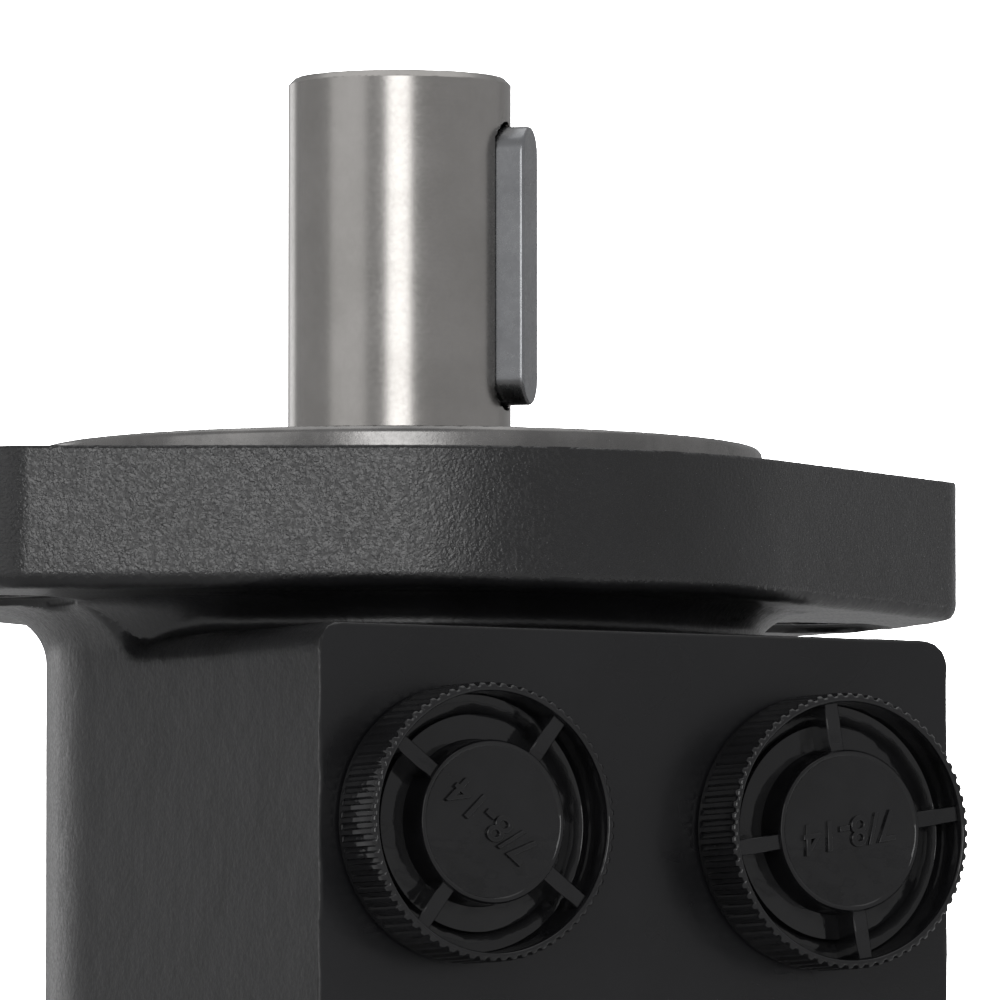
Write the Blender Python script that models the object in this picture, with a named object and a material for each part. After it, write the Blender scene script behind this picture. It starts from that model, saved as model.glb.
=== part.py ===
"""Orbital hydraulic motor with a two-bolt flange, a keyed shaft and two side ports.

The origin is the centre of the end cap's rear face, on the shaft's axis. +Z runs along the
shaft towards its end, -Y points out of the ports, and X runs along the flange's two ears.
"""

import math

import bmesh
import bpy
from mathutils import Matrix, Vector

MM = 0.001
GAP = 0.3 * MM

# The stack along the axis, from the rear face up
END_CAP_THICKNESS = 14.7 * MM
RING_THICKNESS = 16.0 * MM
SPACER_THICKNESS = 8.0 * MM
HOUSING_LENGTH = 100.0 * MM
STACK_RADIUS = 48.0 * MM

# The mounting flange: SAE A, two bolts
PILOT_RADIUS = 41.275 * MM
PILOT_HEIGHT = 2.8 * MM
FLANGE_THICKNESS = 15.8 * MM
EAR_RADIUS = 64.7 * MM
FLANGE_SIDE_RADIUS = 49.9 * MM
FLANGE_SIDE_ANGLE = math.radians(59.2)
MOUNTING_HOLE_X = 53.2 * MM
MOUNTING_HOLE_RADIUS = 6.8 * MM
SPOTFACE_RADIUS = 12.8 * MM
SPOTFACE_DEPTH = 0.8 * MM

# The cast body below the flange
BODY_HALF_WIDTH = 40.1 * MM
PORT_FACE_Y = -53.8 * MM
PORT_FACE_TOP = 20.6 * MM
PORT_FACE_BOTTOM = 66.0 * MM
REAR_FLANGE_DEPTH = 85.0 * MM

# The two ports, 7/8-14 UNF with an O-ring seat
PORT_X = 22.7 * MM
PORT_DEPTH = 42.3 * MM
PORT_RADIUS = 10.4 * MM
PORT_BORE_LENGTH = 17.0 * MM
PORT_SEAT_RADIUS = 12.9 * MM
PORT_SEAT_LENGTH = 2.5 * MM
PASSAGE_RADIUS = 3.5 * MM

# The drain port on the round back
DRAIN_DEPTH = 72.0 * MM
DRAIN_BOSS_RADIUS = 11.5 * MM
DRAIN_SPOTFACE_RADIUS = 10.5 * MM
DRAIN_BOSS_Y = 44.0 * MM
DRAIN_RADIUS = 5.9 * MM

# The output shaft, with the valve spool on its rear part
SHAFT_RADIUS = 12.7 * MM
SHAFT_REACH = 45.25 * MM
SHAFT_CHAMFER = 0.75 * MM
COLLAR_RADIUS = 21.5 * MM
SPOOL_RADIUS = 17.5 * MM
SPOOL_BORE_RADIUS = 17.8 * MM
SPOOL_GROOVE_RADIUS = 15.8 * MM
SPOOL_REAR_DEPTH = 86.0 * MM
SHAFT_CAVITY_RADIUS = 12.6 * MM
ANNULUS_FRONT = (33.0 * MM, 41.0 * MM, 22.6 * MM)
ANNULUS_REAR = (50.0 * MM, 58.0 * MM, 20.8 * MM)
WINDOW_DEPTH = 45.5 * MM
SLOTS_PER_GROOVE = 6

# The key, 1/4 inch square with round ends
KEY_WIDTH = 6.35 * MM
KEY_LENGTH = 31.75 * MM
KEY_OUTER_RADIUS = 15.5 * MM
KEY_START = 7.75 * MM
KEY_ANGLE = math.radians(-44.8)

# The orbiting gear set: seven rollers around a six-lobed rotor
ROLLERS = 7
LOBES = ROLLERS - 1
ROLLER_CIRCLE = 26.5 * MM
ROLLER_RADIUS = 6.0 * MM
ECCENTRICITY = 2.75 * MM
RING_BORE_RADIUS = 26.4 * MM
ROLLER_PLAY = 0.12 * MM
ROTOR_PLAY = 0.25 * MM
FIRST_ROLLER_ANGLE = math.pi / 2
ROLLER_STEP = 2 * math.pi / ROLLERS

# The splined joint at each end of the cardan drive
SPLINE_TEETH = 10
SPLINE_SOCKET = (9.0 * MM, 10.8 * MM)
SPLINE_SHAFT = (8.4 * MM, 10.4 * MM)
SPLINE_FRONT_DEPTH = 37.0 * MM
SPLINE_HALF_LENGTH = 5.5 * MM
SPLINE_SOCKET_START = 29.5 * MM
SPLINE_SOCKET_END = 44.5 * MM
CARDAN_SHANK_RADIUS = 7.4 * MM

# Bolts, screws, seals and bearings
BOLT_CIRCLE = 40.0 * MM
BOLT_RADIUS = 4.0 * MM
BOLT_HOLE_RADIUS = 4.3 * MM
BOLT_ENGAGEMENT = 13.5 * MM
BOLT_HEAD_WIDTH = 13.0 * MM
BOLT_HEAD_HEIGHT = 5.3 * MM
FEED_CIRCLE = 24.0 * MM
FEED_RADIUS = 2.2 * MM
BODY_SEAL_RADIUS = 33.9 * MM
BODY_SEAL_SECTION = 0.75 * MM
SEAL_GROOVE = (32.8 * MM, 35.1 * MM)
SEAL_GROOVE_DEPTH = 1.6 * MM
COVER_RADIUS = 35.0 * MM
COVER_UNDERSIDE = 4.9 * MM
COVER_HUB_RADIUS = 22.0 * MM
COVER_HUB_DEPTH = 12.0 * MM
COVER_SCREW_CIRCLE = 29.5 * MM
COVER_SCREWS = 4
BEARING_BORE = 22.3 * MM
BEARING_INNER = 13.2 * MM
BEARING_OUTER = 21.4 * MM
RACE_THICKNESS = 1.0 * MM
CAGE_THICKNESS = 2.0 * MM
NEEDLES = 12

# The check valves between the ports and the case
CHECK_BALL_RADIUS = 2.6 * MM
CHECK_BORE_RADIUS = 3.0 * MM
CHECK_PASSAGE_RADIUS = 1.6 * MM
CHECK_SEAT_DEPTH = 94.0 * MM

# The plastic plugs that close the ports
PLUG_RIM_RADIUS = 15.36 * MM
PLUG_SKIRT_INNER = 14.2 * MM
PLUG_HEIGHT = 8.2 * MM
PLUG_DISC_RADIUS = 9.0 * MM
PLUG_STEM_RADIUS = 10.0 * MM
PLUG_STEM_LENGTH = 11.5 * MM
PLUG_SPOKE_WIDTH = 1.8 * MM
PLUG_SPOKES = 4
PLUG_TURNS = {"left": math.radians(53), "right": math.radians(9)}

# Heights that follow from the stack
RING_BOTTOM = END_CAP_THICKNESS + GAP
SPACER_BOTTOM = RING_BOTTOM + RING_THICKNESS + GAP
HOUSING_BOTTOM = SPACER_BOTTOM + SPACER_THICKNESS + GAP
FLANGE_Z = HOUSING_BOTTOM + HOUSING_LENGTH
ROTOR_Z = RING_BOTTOM + RING_THICKNESS / 2
ROTOR_CENTRE = Vector((0.0, ECCENTRICITY, ROTOR_Z))
CARDAN_FRONT = Vector((0.0, 0.0, FLANGE_Z - SPLINE_FRONT_DEPTH))

# Circle sides for hidden holes, and for small, middle and large rounds
COARSE = 8
FINE = 12
MIDDLE = 24
LARGE = 48
SEAL_SIDES = 25

FINISHES = {
    "black_paint": ((0.012, 0.012, 0.013), 0.38, 0.0),
    "ground_steel": ((0.42, 0.40, 0.37), 0.28, 1.0),
    "hardened_steel": ((0.30, 0.29, 0.28), 0.22, 1.0),
    "zinc_steel": ((0.50, 0.51, 0.53), 0.35, 1.0),
    "machined_iron": ((0.33, 0.32, 0.31), 0.40, 1.0),
    "black_plastic": ((0.006, 0.006, 0.006), 0.18, 0.0),
    "seal_rubber": ((0.015, 0.014, 0.013), 0.60, 0.0),
}


def below(depth):
    """The height of a point that lies this far below the flange's mounting face."""
    return FLANGE_Z - depth


def clear_scene():
    for item in list(bpy.data.objects):
        bpy.data.objects.remove(item, do_unlink=True)


def finish(name):
    """The Principled material of one finish, made once and shared."""
    if name in bpy.data.materials:
        return bpy.data.materials[name]
    colour, roughness, metallic = FINISHES[name]
    material = bpy.data.materials.new(name)
    material.use_nodes = True
    shader = material.node_tree.nodes["Principled BSDF"]
    shader.inputs["Base Color"].default_value = (*colour, 1.0)
    shader.inputs["Roughness"].default_value = roughness
    shader.inputs["Metallic"].default_value = metallic
    return material


# ---------------------------------------------------------------- outlines


def circle(radius, sides, z=0.0, centre=(0.0, 0.0), turn=0.0):
    step = 2 * math.pi / sides
    return [
        Vector((
            centre[0] + radius * math.cos(turn + i * step),
            centre[1] + radius * math.sin(turn + i * step),
            z,
        ))
        for i in range(sides)
    ]


def arc(radius, start, end, pieces):
    """Points on an arc about the axis, both ends included, in the plane z = 0."""
    angles = [start + (end - start) * i / pieces for i in range(pieces + 1)]
    return [Vector((radius * math.cos(a), radius * math.sin(a), 0.0)) for a in angles]


def hexagon(width, z):
    """A hexagon given by its width across flats, with a point at each corner and mid-side."""
    radii = (width / 2 / math.cos(math.pi / 6), width / 2)
    return [
        Vector((
            radii[i % 2] * math.cos(i * math.pi / 6),
            radii[i % 2] * math.sin(i * math.pi / 6),
            z,
        ))
        for i in range(12)
    ]


def spline(radii, tooth_angle, z):
    """A toothed outline: each tooth has a flat tip and a flat root, with four points."""
    root, tip = radii
    pitch = 2 * math.pi / SPLINE_TEETH
    points = []
    for tooth in range(SPLINE_TEETH):
        middle = tooth * pitch
        for radius, offset in (
            (root, -tooth_angle * 1.25),
            (tip, -tooth_angle),
            (tip, tooth_angle),
            (root, tooth_angle * 1.25),
        ):
            angle = middle + offset
            points.append(Vector((radius * math.cos(angle), radius * math.sin(angle), z)))
    return points


def at_height(outline, z):
    return [Vector((p.x, p.y, z)) for p in outline]


# ---------------------------------------------------------------- meshes


def loft(rings, closed=False):
    """A closed mesh through rings with equal numbers of points; closed joins last to first."""
    mesh = bmesh.new()
    rows = [[mesh.verts.new(point) for point in ring] for ring in rings]
    pairs = list(zip(rows, rows[1:]))
    if closed:
        pairs.append((rows[-1], rows[0]))
    else:
        mesh.faces.new(rows[0][::-1])
        mesh.faces.new(rows[-1])
    for low, high in pairs:
        for i in range(len(low)):
            j = (i + 1) % len(low)
            mesh.faces.new((low[i], low[j], high[j], high[i]))
    bmesh.ops.recalc_face_normals(mesh, faces=mesh.faces)
    return mesh


def turned(profile, sides, closed=False):
    """A turned shape from (radius, height) points; closed makes a ring with a hole."""
    turn = math.pi / sides
    return loft([circle(radius, sides, z, turn=turn) for radius, z in profile], closed)


def turned_ring(inner, outer, bottom, top, sides):
    profile = [(outer, bottom), (outer, top), (inner, top), (inner, bottom)]
    return turned(profile, sides, closed=True)


def o_ring(radius, section, z, sides, section_sides=5):
    step = 2 * math.pi / section_sides
    profile = [
        (radius + section * math.cos(i * step), z + section * math.sin(i * step))
        for i in range(section_sides)
    ]
    return turned(profile, sides, closed=True)


def prism(outline, bottom, top):
    return loft([at_height(outline, bottom), at_height(outline, top)])


def rod(start, end, radius, sides):
    """A straight round bar between two points."""
    start, end = Vector(start), Vector(end)
    mesh = prism(circle(radius, sides), 0.0, (end - start).length)
    turn = Vector((0, 0, 1)).rotation_difference(end - start).to_matrix().to_4x4()
    bmesh.ops.transform(mesh, matrix=Matrix.Translation(start) @ turn, verts=mesh.verts)
    return mesh


def box(low, high, turn=0.0):
    """A box between two corners, turned about the axis."""
    outline = [
        Vector((low[0], low[1], 0)),
        Vector((high[0], low[1], 0)),
        Vector((high[0], high[1], 0)),
        Vector((low[0], high[1], 0)),
    ]
    mesh = prism(outline, low[2], high[2])
    bmesh.ops.rotate(mesh, matrix=Matrix.Rotation(turn, 3, "Z"), verts=mesh.verts)
    return mesh


def merged(meshes):
    """One mesh that holds several separate shapes, for a shared cutter."""
    whole = bmesh.new()
    for part in meshes:
        copy = {vertex: whole.verts.new(vertex.co) for vertex in part.verts}
        for face in part.faces:
            whole.faces.new([copy[vertex] for vertex in face.verts])
        part.free()
    return whole


def around(count, make, start=0.0):
    """The shapes that make(angle) gives at equal steps round the axis."""
    return [make(start + i * 2 * math.pi / count) for i in range(count)]


def polar(radius, angle):
    return (radius * math.cos(angle), radius * math.sin(angle))


# ---------------------------------------------------------------- objects


def new_object(name, mesh, matrix=None):
    data = bpy.data.meshes.new(name)
    mesh.to_mesh(data)
    mesh.free()
    item = bpy.data.objects.new(name, data)
    bpy.context.scene.collection.objects.link(item)
    if matrix is not None:
        item.matrix_world = matrix
    return item


def piece(name, mesh, finish_name, matrix=None):
    """A named piece of the motor, shaded smooth up to its sharp edges."""
    item = new_object(name, mesh, matrix)
    item.data.materials.append(finish(finish_name))
    item.data.shade_smooth()
    item.data.set_sharp_from_angle(angle=math.radians(32))
    return item


def shape(item, label, mesh, operation, matrix=None):
    """Joins a helper shape to a piece, or cuts it away, with a Boolean modifier."""
    helper = new_object(f"{item.name}_{label}", mesh, matrix)
    helper.hide_render = True
    helper.display_type = "WIRE"
    change = item.modifiers.new(label, "BOOLEAN")
    change.operation = operation
    change.solver = "EXACT"
    change.object = helper


def cut(item, label, mesh, matrix=None):
    shape(item, label, mesh, "DIFFERENCE", matrix)


def add(item, label, mesh, matrix=None):
    shape(item, label, mesh, "UNION", matrix)


def outward(point):
    """A placement whose own +Z points along -Y, out of the port face."""
    return Matrix.Translation(point) @ Matrix.Rotation(math.pi / 2, 4, "X")


def backward(point):
    """A placement whose own +Z points along +Y, out of the round back."""
    return Matrix.Translation(point) @ Matrix.Rotation(-math.pi / 2, 4, "X")


# ---------------------------------------------------------------- housing


def flange_outline():
    """Two ears with round ends, four slanted sides and two shallow arcs."""
    spread = math.acos(FLANGE_SIDE_RADIUS / EAR_RADIUS)
    ear = FLANGE_SIDE_ANGLE - spread
    points = []
    for turn in (0.0, math.pi):
        points += arc(EAR_RADIUS, turn - ear, turn + ear, 6)
        points += arc(
            FLANGE_SIDE_RADIUS, turn + FLANGE_SIDE_ANGLE, turn + math.pi - FLANGE_SIDE_ANGLE, 8
        )
    return points


def body_outline(front_y, z):
    """The cast body's section: a flat front, straight sides and a round back."""
    half = BODY_HALF_WIDTH
    points = [Vector((-half, front_y, 0)), Vector((half, front_y, 0))]
    points += arc(half, 0.0, math.pi, 15)
    return at_height(points, z)


def housing_body():
    sections = [
        (PORT_FACE_Y + 7 * MM, REAR_FLANGE_DEPTH),
        (PORT_FACE_Y, PORT_FACE_BOTTOM),
        (PORT_FACE_Y, PORT_FACE_TOP),
        (PORT_FACE_Y + 3.4 * MM, PORT_FACE_TOP - 3.2 * MM),
        (PORT_FACE_Y + 3.4 * MM, FLANGE_THICKNESS - 1 * MM),
    ]
    return loft([body_outline(front_y, below(depth)) for front_y, depth in sections])


def rear_flange():
    """The round rear end that the bolts screw into, flaring out of the body."""
    profile = [
        (STACK_RADIUS, HOUSING_BOTTOM),
        (STACK_RADIUS, below(REAR_FLANGE_DEPTH)),
        (44.2 * MM, below(76 * MM)),
        (41.2 * MM, below(66 * MM)),
        (39.0 * MM, below(56 * MM)),
    ]
    return turned(profile, LARGE)


def housing_bore():
    """The stepped bore for the cover, the bearing and the spool, with its two annuli."""
    top = FLANGE_Z + PILOT_HEIGHT + 1 * MM
    profile = [(COVER_RADIUS + GAP, top), (COVER_RADIUS + GAP, below(COVER_UNDERSIDE + GAP))]
    profile += [(24.9 * MM, profile[-1][1]), (24.9 * MM, below(7.6 * MM))]
    profile += [(BEARING_BORE, below(7.6 * MM)), (BEARING_BORE, below(21 * MM))]
    profile += [(SPOOL_BORE_RADIUS, below(21 * MM))]
    for start, end, radius in (ANNULUS_FRONT, ANNULUS_REAR):
        profile += [(SPOOL_BORE_RADIUS, below(start)), (radius, below(start))]
        profile += [(radius, below(end)), (SPOOL_BORE_RADIUS, below(end))]
    profile += [(SPOOL_BORE_RADIUS, HOUSING_BOTTOM - 1 * MM)]
    return turned(profile, 28)


def mounting_hole(side):
    x = side * MOUNTING_HOLE_X
    profile = [
        (SPOTFACE_RADIUS, below(FLANGE_THICKNESS + 3 * MM)),
        (SPOTFACE_RADIUS, below(FLANGE_THICKNESS - SPOTFACE_DEPTH)),
        (MOUNTING_HOLE_RADIUS, below(FLANGE_THICKNESS - SPOTFACE_DEPTH)),
        (MOUNTING_HOLE_RADIUS, FLANGE_Z + 1 * MM),
    ]
    mesh = turned(profile, 18)
    bmesh.ops.translate(mesh, vec=(x, 0, 0), verts=mesh.verts)
    return mesh


def bolt_angles():
    """The bolts and the feed holes lie halfway between the rollers."""
    return [FIRST_ROLLER_ANGLE + (i + 0.5) * ROLLER_STEP for i in range(ROLLERS)]


def upright_holes(positions, radius, bottom, top, sides):
    return merged([
        prism(circle(radius, sides, centre=position), bottom, top) for position in positions
    ])


def bolt_holes(bottom, top):
    centres = [polar(BOLT_CIRCLE, angle) for angle in bolt_angles()]
    return upright_holes(centres, BOLT_HOLE_RADIUS, bottom, top, COARSE)


def feed_holes(bottom, top):
    centres = [polar(FEED_CIRCLE, angle) for angle in bolt_angles()]
    return upright_holes(centres, FEED_RADIUS, bottom, top, 6)


def feed_windows():
    """Radial windows from the spool's bore to the tops of the feed holes."""
    z = below(WINDOW_DEPTH)
    return merged([
        rod((*polar(16 * MM, angle), z), (*polar(FEED_CIRCLE, angle), z), 1.8 * MM, 5)
        for angle in bolt_angles()
    ])


def port_bore(side):
    profile = [
        (PORT_SEAT_RADIUS, 1 * MM),
        (PORT_SEAT_RADIUS, -PORT_SEAT_LENGTH),
        (PORT_RADIUS, -PORT_SEAT_LENGTH - 1.5 * MM),
        (PORT_RADIUS, -PORT_BORE_LENGTH),
    ]
    return turned(profile, MIDDLE), outward((side * PORT_X, PORT_FACE_Y, below(PORT_DEPTH)))


def port_passage(side, annulus):
    """A slanted passage from a port's floor to one of the annuli."""
    start = (side * PORT_X, PORT_FACE_Y + PORT_BORE_LENGTH - 1 * MM, below(PORT_DEPTH))
    end = (side * 9 * MM, -15 * MM, below((annulus[0] + annulus[1]) / 2))
    return rod(start, end, PASSAGE_RADIUS, 8)


def check_positions():
    """Each check valve: its name, its centre in plan, and where its passage ends."""
    return (
        ("left", polar(23.5 * MM, FIRST_ROLLER_ANGLE + ROLLER_STEP), ANNULUS_FRONT[1] - 1 * MM),
        ("right", polar(21.8 * MM, FIRST_ROLLER_ANGLE - ROLLER_STEP), ANNULUS_REAR[1] - 1 * MM),
    )


def check_bores():
    shapes = []
    for _, centre, passage_end in check_positions():
        outline = circle(CHECK_BORE_RADIUS, COARSE, centre=centre)
        narrow = circle(CHECK_PASSAGE_RADIUS, COARSE, centre=centre)
        shapes.append(loft([
            at_height(outline, HOUSING_BOTTOM - 1 * MM),
            at_height(outline, below(CHECK_SEAT_DEPTH)),
            at_height(narrow, below(CHECK_SEAT_DEPTH)),
            at_height(narrow, below(passage_end)),
        ]))
    return merged(shapes)


def cover_screw_angles():
    return [math.pi / 4 + i * 2 * math.pi / COVER_SCREWS for i in range(COVER_SCREWS)]


def seal_groove(face_z, depth):
    """A ring-shaped cutter for an O-ring groove; a negative depth cuts downwards."""
    low, high = sorted((face_z - math.copysign(1 * MM, depth), face_z + depth))
    return turned_ring(*SEAL_GROOVE, low, high, SEAL_SIDES)


def make_housing():
    housing = piece("housing", housing_body(), "black_paint")
    add(housing, "flange", prism(flange_outline(), below(FLANGE_THICKNESS), FLANGE_Z))
    pilot = prism(circle(PILOT_RADIUS, LARGE), below(2 * MM), FLANGE_Z + PILOT_HEIGHT)
    add(housing, "pilot", pilot)
    add(housing, "rear", rear_flange())
    boss = prism(circle(DRAIN_BOSS_RADIUS, 20), -14 * MM, 0.2 * MM)
    drain = backward((0, DRAIN_BOSS_Y, below(DRAIN_DEPTH)))
    add(housing, "drain_boss", boss, drain)
    cut(housing, "bore", housing_bore())
    cut(housing, "mounting_holes", merged([mounting_hole(-1), mounting_hole(1)]))
    cut(housing, "bolt_holes", bolt_holes(HOUSING_BOTTOM - 1 * MM, HOUSING_BOTTOM + 15 * MM))
    cut(housing, "feed_holes", feed_holes(HOUSING_BOTTOM - 1 * MM, below(WINDOW_DEPTH)))
    cut(housing, "windows", feed_windows())
    cut(housing, "check_bores", check_bores())
    cut(housing, "seal_groove", seal_groove(HOUSING_BOTTOM, SEAL_GROOVE_DEPTH))
    centres = [polar(COVER_SCREW_CIRCLE, angle) for angle in cover_screw_angles()]
    screws = upright_holes(centres, 2.8 * MM, below(16 * MM), below(4 * MM), 8)
    cut(housing, "cover_screw_holes", screws)
    for name, side, annulus in (("left", -1, ANNULUS_FRONT), ("right", 1, ANNULUS_REAR)):
        cut(housing, f"{name}_port", *port_bore(side))
        cut(housing, f"{name}_passage", port_passage(side, annulus))
    hole = [
        (DRAIN_SPOTFACE_RADIUS, 6 * MM),
        (DRAIN_SPOTFACE_RADIUS, 0.0),
        (DRAIN_RADIUS, 0.0),
        (DRAIN_RADIUS, -13 * MM),
        (2 * MM, -13 * MM),
        (2 * MM, -28 * MM),
    ]
    cut(housing, "drain", turned(hole, 16), drain)


# ---------------------------------------------------------------- front end


def make_front_cover():
    """The bolted cover that holds both shaft seals and backs the thrust bearing."""
    top = FLANGE_Z + PILOT_HEIGHT
    profile = [
        (COVER_RADIUS, top),
        (COVER_RADIUS, below(COVER_UNDERSIDE)),
        (COVER_HUB_RADIUS, below(COVER_UNDERSIDE)),
        (COVER_HUB_RADIUS, below(COVER_HUB_DEPTH)),
        (19.0 * MM, below(COVER_HUB_DEPTH)),
        (19.0 * MM, below(2.2 * MM)),
        (13.3 * MM, below(2.2 * MM)),
        (13.3 * MM, below(0.8 * MM)),
        (17.2 * MM, below(0.8 * MM)),
        (17.2 * MM, top),
    ]
    cover = piece("front_cover", turned(profile, 28, closed=True), "machined_iron")
    holes = []
    for angle in cover_screw_angles():
        centre = polar(COVER_SCREW_CIRCLE, angle)
        small = circle(2.8 * MM, COARSE, centre=centre)
        wide = circle(4.75 * MM, COARSE, centre=centre)
        holes.append(loft([
            at_height(small, below(6 * MM)),
            at_height(small, below(3 * MM)),
            at_height(wide, below(3 * MM)),
            at_height(wide, top + 1 * MM),
        ]))
    cut(cover, "screw_holes", merged(holes))


def make_cover_screws():
    """Four socket head screws, sunk in the cover."""
    head = below(2.7 * MM)
    for number, angle in enumerate(cover_screw_angles(), start=1):
        x, y = polar(COVER_SCREW_CIRCLE, angle)
        rings = [
            circle(2.4 * MM, FINE, -12.5 * MM),
            circle(2.4 * MM, FINE, 0.0),
            circle(4.25 * MM, FINE, 0.0),
            circle(4.25 * MM, FINE, 5 * MM),
            hexagon(4 * MM, 5 * MM),
            hexagon(4 * MM, 2.6 * MM),
        ]
        place = Matrix.Translation((x, y, head))
        piece(f"cover_screw_{number}", loft(rings), "zinc_steel", place)


def make_front_seals():
    top = FLANGE_Z + PILOT_HEIGHT
    wiper = [
        (16.9 * MM, below(0.5 * MM)),
        (16.9 * MM, top - 0.2 * MM),
        (13.6 * MM, top - 0.2 * MM),
        (13.0 * MM, top - 0.9 * MM),
        (13.9 * MM, below(0.5 * MM)),
    ]
    piece("dust_seal", turned(wiper, MIDDLE, closed=True), "seal_rubber")
    lip = [
        (18.7 * MM, below(10.2 * MM)),
        (18.7 * MM, below(2.5 * MM)),
        (14.4 * MM, below(2.5 * MM)),
        (14.4 * MM, below(5.5 * MM)),
        (13.0 * MM, below(7.2 * MM)),
        (15.8 * MM, below(10.2 * MM)),
    ]
    piece("shaft_seal", turned(lip, MIDDLE, closed=True), "seal_rubber")
    washer = turned_ring(13.3 * MM, 18.7 * MM, below(11.7 * MM), below(10.6 * MM), MIDDLE)
    piece("backup_washer", washer, "hardened_steel")
    piece("cover_o_ring", o_ring(23.45 * MM, 0.95 * MM, below(6.4 * MM), MIDDLE), "seal_rubber")


def make_thrust_bearing():
    """Two races with a needle cage between them, above the shaft's collar."""
    top = COVER_HUB_DEPTH + GAP
    cage_top = top + RACE_THICKNESS + GAP
    rear_top = cage_top + CAGE_THICKNESS + GAP
    for name, depth in (("thrust_race_front", top), ("thrust_race_rear", rear_top)):
        race = turned_ring(
            BEARING_INNER, BEARING_OUTER, below(depth + RACE_THICKNESS), below(depth), MIDDLE
        )
        piece(name, race, "hardened_steel")
    plate = turned_ring(
        BEARING_INNER, BEARING_OUTER, below(cage_top + 1.6 * MM), below(cage_top + 0.4 * MM), MIDDLE
    )
    cage = piece("needle_cage", plate, "hardened_steel")
    z = below(cage_top + CAGE_THICKNESS / 2)
    needles = around(
        NEEDLES,
        lambda angle: rod(
            (*polar(14.6 * MM, angle), z), (*polar(20 * MM, angle), z), CAGE_THICKNESS / 2, 5
        ),
        start=0.06,
    )
    add(cage, "needles", merged(needles))


# ---------------------------------------------------------------- shaft and drive


def round_slot(length, width, inner, outer):
    """A bar with round ends that stands along Z, between two radii on the X side."""
    half = length / 2 - width / 2
    outline = []
    for end, start in ((half, 0.0), (-half, math.pi)):
        for i in range(9):
            angle = start + math.pi * i / 8
            outline.append((width / 2 * math.cos(angle), end + width / 2 * math.sin(angle)))
    return loft([[Vector((radius, y, z)) for y, z in outline] for radius in (inner, outer)])


def key_place():
    middle = FLANGE_Z + KEY_START + KEY_LENGTH / 2
    return Matrix.Translation((0, 0, middle)) @ Matrix.Rotation(KEY_ANGLE, 4, "Z")


def spool_slots():
    """Axial slots that reach from each spool groove past the feed windows, in turn."""
    shapes = []
    ends = ((ANNULUS_FRONT[1] - 2 * MM, WINDOW_DEPTH + 2 * MM),
            (WINDOW_DEPTH - 2 * MM, ANNULUS_REAR[0] + 2 * MM))
    for i in range(2 * SLOTS_PER_GROOVE):
        start, end = ends[i % 2]
        low = (SPOOL_GROOVE_RADIUS, -1.5 * MM, below(end))
        high = (SPOOL_RADIUS + 1 * MM, 1.5 * MM, below(start))
        shapes.append(box(low, high, turn=i * math.pi / SLOTS_PER_GROOVE))
    return merged(shapes)


def make_output_shaft():
    """The keyed shaft in one piece with its thrust collar and hollow valve spool."""
    sides = 4 * SPLINE_TEETH
    tip = FLANGE_Z + SHAFT_REACH
    profile = [
        (SHAFT_RADIUS - SHAFT_CHAMFER, tip),
        (SHAFT_RADIUS, tip - SHAFT_CHAMFER),
        (SHAFT_RADIUS, below(17.2 * MM)),
        (COLLAR_RADIUS, below(17.2 * MM)),
        (COLLAR_RADIUS, below(20.7 * MM)),
        (SPOOL_RADIUS, below(20.7 * MM)),
    ]
    for start, end, _ in (ANNULUS_FRONT, ANNULUS_REAR):
        first, last = start + 0.5 * MM, end - 0.5 * MM
        profile += [(SPOOL_RADIUS, below(first)), (SPOOL_GROOVE_RADIUS, below(first))]
        profile += [(SPOOL_GROOVE_RADIUS, below(last)), (SPOOL_RADIUS, below(last))]
    profile += [(SPOOL_RADIUS, below(SPOOL_REAR_DEPTH))]
    profile += [(SHAFT_CAVITY_RADIUS, below(SPOOL_REAR_DEPTH))]
    profile += [(SHAFT_CAVITY_RADIUS, below(SPLINE_SOCKET_END))]
    rings = [circle(radius, sides, z, turn=-math.pi / sides) for radius, z in profile]
    rings += [socket_outline(below(SPLINE_SOCKET_END)), socket_outline(below(SPLINE_SOCKET_START))]
    shaft = piece("output_shaft", loft(rings), "ground_steel")
    slot = round_slot(
        KEY_LENGTH + 1.2 * MM,
        KEY_WIDTH + 0.5 * MM,
        KEY_OUTER_RADIUS - KEY_WIDTH - GAP,
        SHAFT_RADIUS + 1 * MM,
    )
    cut(shaft, "keyway", slot, key_place())
    cut(shaft, "spool_slots", spool_slots())
    key = round_slot(KEY_LENGTH, KEY_WIDTH, KEY_OUTER_RADIUS - KEY_WIDTH, KEY_OUTER_RADIUS)
    piece("shaft_key", key, "ground_steel", key_place())


def socket_outline(z):
    """The female spline: its teeth point inwards, between the male teeth."""
    inner, outer = SPLINE_SOCKET
    return spline((inner, outer), math.radians(8.6), z)


def make_cardan():
    """The drive link, tilted so that it joins the shaft's axis to the rotor's centre."""
    length = CARDAN_FRONT.z - ROTOR_Z
    half = SPLINE_HALF_LENGTH
    tooth = math.radians(6)
    root, tip = SPLINE_SHAFT
    shank = [spline((CARDAN_SHANK_RADIUS, CARDAN_SHANK_RADIUS), tooth, z)
             for z in (-half - 2 * MM, -length + half + 2 * MM)]
    rings = crowned_teeth(root, tip, tooth, 0.0) + shank
    rings += crowned_teeth(root, tip, tooth, -length)
    tilt = math.atan2(ECCENTRICITY, length)
    place = Matrix.Translation(CARDAN_FRONT) @ Matrix.Rotation(tilt, 4, "X")
    piece("cardan_drive", loft(rings), "hardened_steel", place)


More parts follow.
